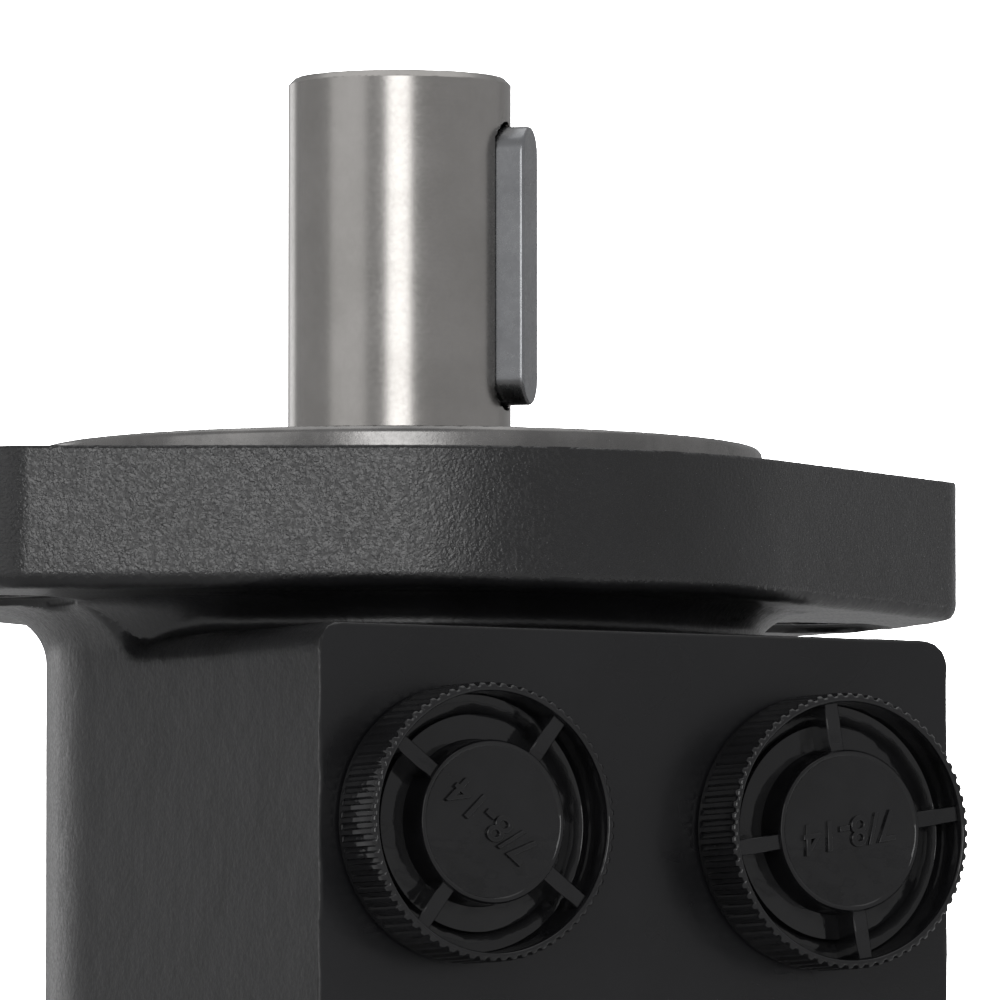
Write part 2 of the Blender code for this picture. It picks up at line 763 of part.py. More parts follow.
def crowned_teeth(root, tip, tooth, middle):
    """Three sections of teeth, from the front end to the rear, slimmer at both ends."""
    half = SPLINE_HALF_LENGTH
    return [
        spline((root - drop, tip - drop), tooth - narrow, middle + z)
        for z, drop, narrow in (
            (half, 0.3 * MM, math.radians(0.8)),
            (0.0, 0.0, 0.0),
            (-half, 0.3 * MM, math.radians(0.8)),
        )
    ]


# ---------------------------------------------------------------- gear set


def rotor_outline():
    """The six-lobed outline that touches all seven rollers, offset from the rollers' path.

    The points crowd into the valleys, where the outline turns fastest.
    """
    points = []
    pieces = 14 * LOBES
    for i in range(pieces):
        step = 2 * math.pi * i / pieces
        angle = step - 0.8 * math.sin(LOBES * step) / LOBES
        path = Vector((
            ROLLER_CIRCLE * math.cos(angle) - ECCENTRICITY * math.cos(ROLLERS * angle),
            ROLLER_CIRCLE * math.sin(angle) - ECCENTRICITY * math.sin(ROLLERS * angle),
            0.0,
        ))
        along = Vector((
            -ROLLER_CIRCLE * math.sin(angle) + ROLLERS * ECCENTRICITY * math.sin(ROLLERS * angle),
            ROLLER_CIRCLE * math.cos(angle) - ROLLERS * ECCENTRICITY * math.cos(ROLLERS * angle),
            0.0,
        )).normalized()
        inward = Vector((-along.y, along.x, 0.0))
        points.append(path + inward * (ROLLER_RADIUS + ROTOR_PLAY))
    return points


def make_rotor():
    half = RING_THICKNESS / 2 - GAP
    place = Matrix.Translation(ROTOR_CENTRE) @ Matrix.Rotation(FIRST_ROLLER_ANGLE, 4, "Z")
    rotor = piece("rotor", prism(rotor_outline(), -half, half), "hardened_steel", place)
    bore = prism(socket_outline(0.0), -half - 1 * MM, half + 1 * MM)
    cut(rotor, "bore", bore, Matrix.Translation(ROTOR_CENTRE))


def ring_outline():
    """The ring's bore, with a round pocket for each roller."""
    pocket = ROLLER_RADIUS + ROLLER_PLAY
    points = []
    for i in range(ROLLERS):
        angle = FIRST_ROLLER_ANGLE + i * ROLLER_STEP
        centre = Vector((*polar(ROLLER_CIRCLE, angle), 0.0))
        start = angle - math.pi / 2
        for k in range(9):
            turn = start + math.pi * k / 8
            points.append(centre + pocket * Vector((math.cos(turn), math.sin(turn), 0.0)))
        between = angle + ROLLER_STEP / 2
        points.append(Vector((*polar(RING_BORE_RADIUS, between), 0.0)))
    return points


def make_geroler_ring():
    bore = ring_outline()
    outside = []
    for i in range(ROLLERS):
        start = FIRST_ROLLER_ANGLE + (i - 0.4) * ROLLER_STEP
        outside += arc(STACK_RADIUS, start, start + 0.9 * ROLLER_STEP, 9)
    low, high = RING_BOTTOM, RING_BOTTOM + RING_THICKNESS
    rings = [at_height(outside, low), at_height(outside, high), at_height(bore, high)]
    rings += [at_height(bore, low)]
    ring = piece("geroler_ring", loft(rings, closed=True), "black_paint")
    cut(ring, "bolt_holes", bolt_holes(low - 1 * MM, high + 1 * MM))


def make_rollers():
    """Seven rollers, each in its pocket of the ring."""
    half = RING_THICKNESS / 2 - GAP
    profile = [(ROLLER_RADIUS, half), (ROLLER_RADIUS, -half)]
    for i in range(ROLLERS):
        angle = FIRST_ROLLER_ANGLE + i * ROLLER_STEP
        place = Matrix.Translation((*polar(ROLLER_CIRCLE, angle), ROTOR_Z))
        piece(f"roller_{i + 1}", turned(profile, 16), "hardened_steel", place)


def make_drive_spacer():
    """The disc in the rotor's bore that keeps the cardan drive off the end cap."""
    bottom = RING_BOTTOM - ROTOR_Z + 0.1 * MM
    disc = turned([(8.6 * MM, bottom), (8.6 * MM, bottom + 1.8 * MM)], 20)
    piece("drive_spacer", disc, "hardened_steel", Matrix.Translation(ROTOR_CENTRE))


def make_spacer_plate():
    low, high = SPACER_BOTTOM, SPACER_BOTTOM + SPACER_THICKNESS
    plate = piece("spacer_plate", turned_ring(13 * MM, STACK_RADIUS, low, high, LARGE), "black_paint")
    cut(plate, "bolt_holes", bolt_holes(low - 1 * MM, high + 1 * MM))
    cut(plate, "feed_holes", feed_holes(low - 1 * MM, high + 1 * MM))
    cut(plate, "seal_groove", seal_groove(low, SEAL_GROOVE_DEPTH))


def make_end_cap():
    edge = 1 * MM
    profile = [
        (STACK_RADIUS - edge, 0.0),
        (STACK_RADIUS, edge),
        (STACK_RADIUS, END_CAP_THICKNESS),
    ]
    cap = piece("end_cap", turned(profile, LARGE), "black_paint")
    cut(cap, "bolt_holes", bolt_holes(-1 * MM, END_CAP_THICKNESS + 1 * MM))
    cut(cap, "seal_groove", seal_groove(END_CAP_THICKNESS, -SEAL_GROOVE_DEPTH))


def make_end_bolts():
    """Seven hexagon bolts that clamp the stack to the housing."""
    reach = HOUSING_BOTTOM + BOLT_ENGAGEMENT + GAP
    shank = BOLT_RADIUS - 0.1 * MM
    rings = [
        hexagon(BOLT_HEAD_WIDTH, -BOLT_HEAD_HEIGHT),
        hexagon(BOLT_HEAD_WIDTH, 0.0),
        circle(shank, FINE, 0.0),
        circle(shank, FINE, reach),
    ]
    for number, angle in enumerate(bolt_angles(), start=1):
        place = Matrix.Translation((*polar(BOLT_CIRCLE, angle), -GAP))
        piece(f"end_bolt_{number}", loft(rings), "black_paint", place)


def make_body_seals():
    """An O-ring at each joint of the stack, halfway between its groove's floor and the next face."""
    half_room = (SEAL_GROOVE_DEPTH + GAP) / 2
    heights = {
        "body_seal_front": HOUSING_BOTTOM - GAP + half_room,
        "body_seal_middle": SPACER_BOTTOM - GAP + half_room,
        "body_seal_rear": RING_BOTTOM - half_room,
    }
    for name, z in heights.items():
        mesh = o_ring(BODY_SEAL_RADIUS, BODY_SEAL_SECTION, z, SEAL_SIDES, section_sides=4)
        piece(name, mesh, "seal_rubber")


# ---------------------------------------------------------------- ports and valves


def make_check_balls():
    """A ball under each check valve's seat, in its bore from the rear face."""
    seat = math.sqrt(CHECK_BALL_RADIUS**2 - CHECK_PASSAGE_RADIUS**2)
    z = below(CHECK_SEAT_DEPTH + seat + GAP)
    for name, centre, _ in check_positions():
        ball = bmesh.new()
        bmesh.ops.create_icosphere(ball, subdivisions=2, radius=CHECK_BALL_RADIUS)
        piece(f"check_ball_{name}", ball, "hardened_steel", Matrix.Translation((*centre, z)))


def plug_shape():
    """A hollow threaded stem under a head with a skirt, a sunk ring and a centre disc."""
    rim = PLUG_HEIGHT
    floor = rim - 5.4 * MM
    profile = [
        (PLUG_DISC_RADIUS, floor),
        (PLUG_DISC_RADIUS, rim - 0.5 * MM),
    ]
    lower = [
        (PLUG_SKIRT_INNER, floor),
        (PLUG_SKIRT_INNER, rim),
        (PLUG_RIM_RADIUS, rim),
        (PLUG_RIM_RADIUS, GAP),
        (PLUG_STEM_RADIUS, GAP),
        (PLUG_STEM_RADIUS, -PLUG_STEM_LENGTH),
        (PLUG_STEM_RADIUS - 1.8 * MM, -PLUG_STEM_LENGTH),
        (PLUG_STEM_RADIUS - 1.8 * MM, rim - 2.6 * MM),
    ]
    return turned(profile[::-1] + lower, MIDDLE)


def make_port_plugs():
    z = below(PORT_DEPTH)
    for name, side in (("left", -1), ("right", 1)):
        turn = PLUG_TURNS[name]
        place = outward((side * PORT_X, PORT_FACE_Y, z))
        plug = piece(f"port_plug_{name}", plug_shape(), "black_plastic", place)
        half = PLUG_SPOKE_WIDTH / 2
        low = (PLUG_DISC_RADIUS - 0.4 * MM, -half, PLUG_HEIGHT - 5.8 * MM)
        high = (PLUG_SKIRT_INNER + 0.5 * MM, half, PLUG_HEIGHT - 0.9 * MM)
        spokes = around(PLUG_SPOKES, lambda angle: box(low, high, turn=angle), start=turn)
        add(plug, "spokes", merged(spokes), place)
        seal = o_ring(11.45 * MM, 0.95 * MM, -1.2 * MM, MIDDLE)
        piece(f"plug_o_ring_{name}", seal, "seal_rubber", place)


def make_drain_plug():
    place = backward((0, DRAIN_BOSS_Y, below(DRAIN_DEPTH)))
    seal_top = GAP + 1.5 * MM
    washer = turned_ring(6.1 * MM, 9.2 * MM, GAP, seal_top, 20)
    piece("drain_seal", washer, "seal_rubber", place)
    head = seal_top + GAP
    rings = [
        circle(5.6 * MM, FINE, -10 * MM),
        circle(5.6 * MM, FINE, head),
        hexagon(17 * MM, head),
        hexagon(17 * MM, head + 5.5 * MM),
        circle(7.6 * MM, FINE, head + 6.2 * MM),
    ]
    piece("drain_plug", loft(rings), "zinc_steel", place)


def main():
    clear_scene()
    make_housing()
    make_front_cover()
    make_cover_screws()
    make_front_seals()
    make_thrust_bearing()
    make_output_shaft()
    make_cardan()
    make_rotor()
    make_geroler_ring()
    make_rollers()
    make_drive_spacer()
    make_spacer_plate()
    make_end_cap()
    make_end_bolts()
    make_body_seals()
    make_check_balls()
    make_port_plugs()
    make_drain_plug()


main()
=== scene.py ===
"""Visual model of the orbital hydraulic motor, with its studio, on the frame of the CAD.

Shapes are worked out in millimetres in the row frame. The cast and machined pieces are signed
distance fields, negative inside, turned into meshes that keep their sharp edges. Depths are
measured down from the flange's mounting face.
"""

import math

import bmesh
import bpy
import numpy as np
from mathutils import Matrix, Vector


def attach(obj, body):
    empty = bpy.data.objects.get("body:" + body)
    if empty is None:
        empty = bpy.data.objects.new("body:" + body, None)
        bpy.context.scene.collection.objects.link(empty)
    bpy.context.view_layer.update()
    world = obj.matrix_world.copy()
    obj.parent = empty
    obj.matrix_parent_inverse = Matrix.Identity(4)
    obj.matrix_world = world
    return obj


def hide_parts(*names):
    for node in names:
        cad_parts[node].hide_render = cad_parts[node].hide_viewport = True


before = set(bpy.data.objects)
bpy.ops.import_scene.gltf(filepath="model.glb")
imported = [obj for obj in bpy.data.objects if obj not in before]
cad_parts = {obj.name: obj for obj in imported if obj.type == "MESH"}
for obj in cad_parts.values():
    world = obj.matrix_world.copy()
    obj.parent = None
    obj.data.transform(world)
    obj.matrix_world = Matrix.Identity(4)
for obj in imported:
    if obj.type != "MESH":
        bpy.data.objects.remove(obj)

MM = 0.001
FLANGE = 139.6
PILOT_TOP = 142.4
HOUSING_BOTTOM = 39.6
PORT_Z = FLANGE - 42.3
PORT_X = 22.7
PORT_FACE_Y = -53.8
BODY_HALF_WIDTH = 40.1
WAIST_RADIUS = 49.9
EAR_REACH = 65.2
FLANGE_BOTTOM = 123.8
BLOCK_FACE = 53.6
BLOCK_TOP = FLANGE - 20.4
PAD_TOP = FLANGE - 20.5
NECK_TOP = FLANGE - 7.0
PILOT_RADIUS = 41.275
MOUNTING_HOLE_RADIUS = 6.8
SPOTFACE_RADIUS = 10.2
MOUNTING_HOLE_X = 53.2
DRAIN_Z = FLANGE - 72.0
BOLT_CIRCLE = 40.0
BOLT_ANGLES = [math.radians(90 + 360 / 7 * (i + 0.5)) for i in range(7)]
SCREW_ANGLES = [math.radians(45 + 90 * i) for i in range(4)]
SCREW_CIRCLE = 29.5
SHAFT_TIP = 184.85
KEY_ANGLE = math.radians(-44.8)
KEY_MIDDLE = FLANGE + 7.75 + 31.75 / 2
PLUG_TURNS = {"left": 53.0, "right": 9.0}
PLUG_TEXT_TURNS = {"left": 142.0, "right": 190.0}
KNURLS = 72


# ---------------------------------------------------------------- distance fields


def join(a, b, radius):
    """The union of two fields, with a fillet of this radius where they meet."""
    near = np.hypot(np.maximum(radius - a, 0), np.maximum(radius - b, 0))
    return np.maximum(radius, np.minimum(a, b)) - near


def meet(a, b, radius):
    """What two fields share, with the edge between them rounded."""
    return -join(-a, -b, radius)


def carve(a, b, radius):
    """The first field with the second cut out of it, with the edge rounded."""
    return meet(a, -b, radius)


def turned(r, z, profile):
    """The field of a closed outline of (radius, height) points, turned about the axis."""
    nearest = np.full(np.broadcast(r, z).shape, 1e9)
    crossings = np.zeros(nearest.shape, int)
    for (ar, az), (br, bz) in zip(profile, profile[1:] + profile[:1]):
        along = (br - ar, bz - az)
        size = along[0] ** 2 + along[1] ** 2
        part = np.clip(((r - ar) * along[0] + (z - az) * along[1]) / size, 0, 1)
        gap = (r - ar - part * along[0]) ** 2 + (z - az - part * along[1]) ** 2
        nearest = np.minimum(nearest, gap)
        if az != bz:
            at_height = (z >= min(az, bz)) & (z < max(az, bz))
            crossings += at_height & (r < ar + (z - az) * along[0] / along[1])
    return np.sqrt(nearest) * np.where(crossings % 2 == 1, -1, 1)


def folded(x, y, first_angle, count, circle):
    """The distance in plan from the nearest of several points on a circle."""
    step = 2 * math.pi / count
    angle = (np.arctan2(y, x) - first_angle + step / 2) % step - step / 2
    r = np.hypot(x, y)
    return np.hypot(r * np.cos(angle) - circle, r * np.sin(angle))


def hexagon(x, y, width):
    """The field in plan of a hexagon, by its width across flats."""
    sides = [np.abs(x * math.cos(t) + y * math.sin(t)) for t in (0, math.pi / 3, 2 * math.pi / 3)]
    return np.maximum(np.maximum(sides[0], sides[1]), sides[2]) - width / 2


def cast_wobble(x, y, z):
    """The slight unevenness of a sand casting."""
    wide = np.sin(0.71 * x + 0.4) * np.sin(0.63 * y + 1.1) * np.sin(0.57 * z + 0.3)
    fine = np.sin(1.9 * x + 0.8 * z) * np.sin(1.7 * y - 0.6 * z + 2.0) * np.sin(1.6 * z + 0.5 * x)
    return 0.03 * wide + 0.012 * fine


def flange_plan(x, y):
    """Two round ears joined by slanted sides and two shallow arcs."""
    angle = math.radians(59.2)
    side = np.abs(x) * math.cos(angle) + np.abs(y) * math.sin(angle)
    past_arc = np.abs(x) * math.sin(angle) - np.abs(y) * math.cos(angle) > 0
    waist = np.where(past_arc, side, np.hypot(x, y)) - WAIST_RADIUS
    return meet(waist, np.hypot(x, y) - EAR_REACH, 1.6)


def port_slant(y, z):
    """The slope that runs back from the port face to the rear flange."""
    return (-y - 53.8 + 0.368 * (FLANGE - 66.0 - z)) * 0.938


def body_field(x, y, z):
    """The cast body: round behind and at the neck, with a flat-sided block in front."""
    r = np.hypot(x, y)
    sides = np.where(y > 0, r, np.abs(x)) - BODY_HALF_WIDTH
    slant = port_slant(y, z)
    rise = 13.3 * np.clip((y + 13.0) / 12.0, 0, 1) ** 2
    front, top = -y - BLOCK_FACE, z - BLOCK_TOP - rise
    block = np.maximum(meet(front, top, 0.7), meet(sides, top, 3.1))
    block = meet(block, slant, 1.5)
    neck = np.maximum(r - BODY_HALF_WIDTH, z - NECK_TOP)
    body = join(block, neck, np.interp(y, [-20.0, -10.0], [2.5, 0.05]))
    return np.maximum(body, HOUSING_BOTTOM + 14.0 - z)


def port_pad(x, y, z):
    """The flat pad round the ports, milled a little proud of the casting."""
    outline = meet(np.abs(x) - BODY_HALF_WIDTH + 0.06, z - PAD_TOP, 2.9)
    slant = port_slant(y, z)
    pad = meet(outline, np.maximum(-y + PORT_FACE_Y, slant), 0.3)
    return np.maximum(np.maximum(pad, y + 48.0), 70.0 - z)


def rear_flange_field(x, y, z):
    """The round rear end, flaring out of the body."""
    heights = [39.0, 53.2, 54.6, 56.5, 62.0, 67.0, 72.0, 84.0]
    radii = [48.0, 48.0, 47.85, 47.0, 44.0, 41.0, 37.5, 28.0]
    flare = (np.hypot(x, y) - np.interp(z, heights, radii)) * 0.94
    return np.maximum(flare, z - 85.0)


def housing_bore(x, y, z):
    """The stepped bore for the cover, the shaft and its seals, turned about the axis."""
    r = np.hypot(x, y)
    profile = [(0, 145), (35.3, 145), (35.3, 134.4), (24.9, 134.4), (24.9, 132), (22.3, 132)]
    profile += [(22.3, 118.6), (17.8, 118.6), (17.8, 106.6), (22.6, 106.6), (22.6, 98.6)]
    profile += [(17.8, 98.6), (17.8, 89.6), (20.8, 89.6), (20.8, 81.6), (17.8, 81.6)]
    profile += [(17.8, 38), (0, 38)]
    return turned(r, z, profile)


def housing_field(x, y, z):
    """The casting with its flange, drain boss, pad and pilot, before anything is cut."""
    flange = meet(flange_plan(x, y), FLANGE_BOTTOM - z, 1.9)
    flange = np.maximum(flange, z - FLANGE - 2.0)
    casting = join(body_field(x, y, z), rear_flange_field(x, y, z), 3.0)
    fillet = np.clip(-0.75 * flange_plan(x, y), 1.3, 6.0)
    casting = join(casting, flange, fillet)
    boss = np.maximum(np.hypot(x, z - DRAIN_Z) - 11.5, y - 44.2)
    casting = join(casting, np.maximum(boss, -y), 3.0)
    casting = casting + cast_wobble(x, y, z)
    solid = meet(casting, z - FLANGE, 0.45)
    solid = np.minimum(solid, port_pad(x, y, z))
    solid = meet(solid, HOUSING_BOTTOM - z, 0.5)
    r = np.hypot(x, y)
    pilot = meet(r - PILOT_RADIUS, z - PILOT_TOP, 0.9)
    solid = join(solid, np.maximum(pilot, 130.0 - z), 0.25)
    return housing_cuts(solid, x, y, z)


def housing_cuts(solid, x, y, z):
    """Bores, holes and seats, cut after the casting and the machined faces are there."""
    solid = carve(solid, housing_bore(x, y, z), 0.35)
    ear = np.hypot(np.abs(x) - MOUNTING_HOLE_X, y)
    spotface = meet(ear - SPOTFACE_RADIUS, z - 124.6, 0.6)
    solid = carve(solid, np.maximum(spotface, 122.3 - z), 0.3)
    solid = carve(solid, ear - MOUNTING_HOLE_RADIUS, 0.4)
    port = np.hypot(np.abs(x) - PORT_X, z - PORT_Z)
    inward = y - PORT_FACE_Y
    seat = np.maximum(np.maximum(port - 12.9, (port + inward - 14.4) * 0.7), inward - 4.0)
    solid = carve(solid, np.maximum(seat, -3 - inward), 0.25)
    solid = carve(solid, np.maximum(port - 10.4, np.abs(inward - 8) - 9.0), 0.1)
    drain = np.hypot(x, z - DRAIN_Z)
    solid = carve(solid, np.maximum(drain - 10.5, 44.0 - y), 0.2)
    solid = carve(solid, np.maximum(drain - 5.9, 31.0 - y), 0.3)
    bolt = folded(x, y, BOLT_ANGLES[0], 7, BOLT_CIRCLE)
    solid = carve(solid, np.maximum(bolt - 4.3, z - HOUSING_BOTTOM - 15.0), 0.1)
    screw = folded(x, y, SCREW_ANGLES[0], 4, SCREW_CIRCLE)
    solid = carve(solid, np.maximum(screw - 2.8, 123.6 - z), 0.1)
    for radius, angle, top in ((23.5, 90 + 360 / 7, 99.6), (21.8, 90 - 360 / 7, 82.6)):
        centre = (radius * math.cos(math.radians(angle)), radius * math.sin(math.radians(angle)))
        away = np.hypot(x - centre[0], y - centre[1])
        solid = carve(solid, np.maximum(away - 3.0, z - 45.6), 0.1)
        solid = carve(solid, np.maximum(away - 1.6, z - top), 0.1)
    return solid


def shaft_field(x, y, z):
    """The shaft, its thrust collar and its hollow spool, with the keyway."""
    r = np.hypot(x, y)
    profile = [(0, SHAFT_TIP), (11.95, SHAFT_TIP), (12.7, 184.1), (12.7, 122.4), (21.5, 122.4)]
    profile += [(21.5, 118.9), (17.5, 118.9), (17.5, 106.1), (15.8, 106.1), (15.8, 99.1)]
    profile += [(17.5, 99.1), (17.5, 89.1), (15.8, 89.1), (15.8, 82.1), (17.5, 82.1)]
    profile += [(17.5, 53.6), (12.6, 53.6), (12.6, 95.1), (10.9, 95.1), (10.9, 110.1)]
    profile += [(0, 110.1)]
    shaft = turned(r, z, profile)
    shaft = carve(shaft, turned(r, z, [(0, 188), (0, 182), (1.2, 182), (4.2, 188)]), 0.1)
    out = x * math.cos(KEY_ANGLE) + y * math.sin(KEY_ANGLE)
    across = y * math.cos(KEY_ANGLE) - x * math.sin(KEY_ANGLE)
    reach = np.maximum(np.abs(z - KEY_MIDDLE) - (32.95 - 6.85) / 2, 0)
    slot = meet(np.hypot(across, reach) - 3.425, 8.85 - out, 0.3)
    return carve(shaft, slot, 0.18)


def key_field(out, across, z):
    """The key in its own axes: out of the shaft, across it, and along it."""
    reach = np.maximum(np.abs(z) - (31.75 - 6.35) / 2, 0)
    plan = np.hypot(across, reach) - 3.175
    return meet(meet(plan, out - 15.5, 0.4), 9.15 - out, 0.3)


def cover_field(x, y, z):
    r = np.hypot(x, y)
    profile = [(35.0, PILOT_TOP - 0.5), (34.5, PILOT_TOP), (17.4, PILOT_TOP), (17.2, 142.2)]
    profile += [(17.2, 138.8), (13.3, 138.8), (13.3, 137.4), (19.0, 137.4), (19.0, 127.6)]
    profile += [(22.0, 127.6), (22.0, 134.7), (35.0, 134.7)]
    screw = folded(x, y, SCREW_ANGLES[0], 4, SCREW_CIRCLE)
    solid = carve(turned(r, z, profile), np.maximum(screw - 4.75, 136.6 - z), 0.25)
    return carve(solid, screw - 2.8, 0.1)


def socket_screw_field(x, y, z):
    """A socket head screw that stands on z = 0."""
    r = np.hypot(x, y)
    outline = [(0, 5), (3.85, 5), (4.25, 4.6), (4.25, 0), (2.4, 0), (2.4, -12.3), (2.2, -12.5)]
    head = turned(r, z, outline + [(0, -12.5)])
    return carve(head, meet(hexagon(x, y, 4.0), 2.6 - z, 0.1), 0.12)


def end_bolt_field(x, y, z):
    """A hexagon bolt: its washer face is at z = 0, its head below and its shank above."""
    r = np.hypot(x, y)
    crown = (r - 6.45 - (z + 5.3) * 1.6) * 0.53
    head = meet(hexagon(x, y, 13.0), crown, 0.1)
    head = np.maximum(np.maximum(head, -5.3 - z), z + 0.35)
    washer = np.maximum(r - 6.1, np.abs(z + 0.2) - 0.2)
    shank = turned(r, z, [(0, -1), (3.9, -1), (3.9, 52.8), (3.4, 53.3), (0, 53.3)])
    return np.minimum(np.minimum(head, washer), shank)


def drain_plug_field(x, y, z):
    """A hexagon plug: its seat is at z = 2.1, its thread below."""
    r = np.hypot(x, y)
    crown = (r - 8.2 - (8.3 - z) * 1.6) * 0.53
    head = meet(hexagon(x, y, 17.0), crown, 0.15)
    head = np.maximum(np.maximum(head, z - 8.3), 2.5 - z)
    collar = turned(r, z, [(0, 2.1), (8.3, 2.1), (8.4, 2.6), (0, 2.6)])
    thread = turned(r, z, [(0, -10), (5.1, -10), (5.6, -9.5), (5.6, 2.3), (0, 2.3)])
    return np.minimum(np.minimum(head, collar), thread)


# ---------------------------------------------------------------- meshes from fields


def lines(low, high, step, bands=()):
    """Grid lines from low to high, closer together in each band (start, end, step)."""
    marks = np.arange(low, high + step, step)
    for start, end, fine in bands:
        marks = marks[(marks < start - fine) | (marks > end + fine)]
        marks = np.concatenate([marks, np.arange(start, end + fine / 2, fine)])
    return np.sort(marks) + 0.0137


def gradient(field, points, reach=0.03):
    """The field's unit slope at each point: the surface's outward normal."""
    slope = np.empty_like(points)
    for axis in range(3):
        step = np.zeros(3)
        step[axis] = reach
        ahead, behind = (points + step).T, (points - step).T
        slope[:, axis] = field(*ahead) - field(*behind)
    return slope / np.maximum(np.linalg.norm(slope, axis=1), 1e-12)[:, None]


def crossings(field, axes, values, axis):
    """Where the surface cuts the grid's lines along one axis."""
    inside = values < 0
    first = [slice(None)] * 3
    second = [slice(None)] * 3
    first[axis], second[axis] = slice(None, -1), slice(1, None)
    cells = np.argwhere(inside[tuple(first)] != inside[tuple(second)])
    ends = cells.copy()
    ends[:, axis] += 1
    low = np.stack([axes[i][cells[:, i]] for i in range(3)], axis=1)
    high = np.stack([axes[i][ends[:, i]] for i in range(3)], axis=1)
    at_low, at_high = values[tuple(cells.T)], values[tuple(ends.T)]
    outward = at_low < 0
    points = low + (at_low / (at_low - at_high))[:, None] * (high - low)
    for _ in range(2):
        here = field(*points.T)
        same = (here < 0) == (at_low < 0)
        low, at_low = np.where(same[:, None], points, low), np.where(same, here, at_low)
        high, at_high = np.where(same[:, None], high, points), np.where(same, at_high, here)
        part = at_low / (at_low - at_high + (at_low == at_high))
        points = low + np.clip(part, 0, 1)[:, None] * (high - low)
    return cells, points, outward


def contour(field, axes):
    """Vertices and triangles of the surface where the field is zero, sharp edges kept."""
    shape = [len(line) for line in axes]
    grid = field(axes[0][:, None, None], axes[1][None, :, None], axes[2][None, None, :])
    values = np.broadcast_to(grid, shape)
    owners, samples, slopes, quads = [], [], [], []
    for axis in range(3):
        cells, points, outward = crossings(field, axes, values, axis)
        normals = gradient(field, points)
        ring = []
        for back_b, back_c in ((1, 1), (0, 1), (0, 0), (1, 0)):
            cell = cells.copy()
            cell[:, (axis + 1) % 3] -= back_b
            cell[:, (axis + 2) % 3] -= back_c
            ring.append(np.ravel_multi_index(tuple(cell.T), shape))
            samples.append(points)
            slopes.append(normals)
        owners += ring
        quad = np.stack(ring, axis=1)
        quads.append(np.where(outward[:, None], quad, quad[:, ::-1]))
    used, owner = np.unique(np.concatenate(owners), return_inverse=True)
    vertices = feature_points(
        owner, np.concatenate(samples), np.concatenate(slopes), used, axes, shape
    )
    quads = np.searchsorted(used, np.concatenate(quads))
    return vertices, split(field, vertices, quads)


def feature_points(owner, points, normals, used, axes, shape):
    """One vertex per cell, where the planes through its crossings meet."""
    count = len(used)
    number = np.bincount(owner, minlength=count).astype(float)
    middle = np.stack(
        [np.bincount(owner, points[:, i], count) / number for i in range(3)], axis=1
    )
    height = np.einsum("ij,ij->i", normals, points - middle[owner])
    matrix = np.empty((count, 3, 3))
    right = np.empty((count, 3))
    for i in range(3):
        right[:, i] = np.bincount(owner, normals[:, i] * height, count)
        for j in range(3):
            matrix[:, i, j] = np.bincount(owner, normals[:, i] * normals[:, j], count)
    matrix += (0.03 * number)[:, None, None] * np.eye(3)
    vertices = middle + np.linalg.solve(matrix, right[:, :, None])[:, :, 0]
    cells = np.unravel_index(used, shape)
    for i in range(3):
        low, high = axes[i][cells[i]], axes[i][cells[i] + 1]
        vertices[:, i] = np.clip(vertices[:, i], low, high)
    return vertices


def split(field, vertices, quads):
    """Two triangles for each quad, along the diagonal that lies nearer the surface."""
    corner = [vertices[quads[:, i]] for i in range(4)]
    first = np.abs(field(*((corner[0] + corner[2]) / 2).T))
    second = np.abs(field(*((corner[1] + corner[3]) / 2).T))
    order = np.where(
        (first <= second)[:, None], np.array([0, 1, 2, 0, 2, 3]), np.array([1, 2, 3, 1, 3, 0])
    )
    triangles = np.take_along_axis(quads, order, axis=1).reshape(-1, 3)
    distinct = (
        (triangles[:, 0] != triangles[:, 1])
        & (triangles[:, 1] != triangles[:, 2])
        & (triangles[:, 2] != triangles[:, 0])
    )
    return triangles[distinct]


def corner_normals(field, vertices, triangles):
    """A normal for each corner: smooth over curves, and crisp at sharp edges."""
    at_vertex = gradient(field, vertices)
    corner = [vertices[triangles[:, i]] for i in range(3)]
    flat = np.cross(corner[1] - corner[0], corner[2] - corner[0])
    flat /= np.maximum(np.linalg.norm(flat, axis=1), 1e-12)[:, None]
    smooth = at_vertex[triangles]
    agree = np.einsum("ijk,ik->ij", smooth, flat) > 0.8
    return np.where(agree[:, :, None], smooth, flat[:, None, :]), flat


def mesh_from(name, vertices, triangles, normals=None):
    """A Blender mesh, in metres, from arrays in millimetres."""
    mesh = bpy.data.meshes.new(name)
    mesh.vertices.add(len(vertices))
    mesh.vertices.foreach_set("co", (vertices * MM).ravel())
    mesh.loops.add(3 * len(triangles))
    mesh.loops.foreach_set("vertex_index", triangles.ravel())
    mesh.polygons.add(len(triangles))
    mesh.polygons.foreach_set("loop_start", np.arange(len(triangles)) * 3)
    mesh.update(calc_edges=True)
    mesh.shade_smooth()
    if normals is not None:
        mesh.normals_split_custom_set(normals.reshape(-1, 3))
    return mesh


def sculpt(name, field, axes):
    """A mesh of a field, with the flat normal and the centre of each triangle."""
    vertices, triangles = contour(field, axes)
    normals, flat = corner_normals(field, vertices, triangles)
    mesh = mesh_from(name, vertices, triangles, normals)
    centres = vertices[triangles].mean(axis=1)
    return mesh, flat, centres


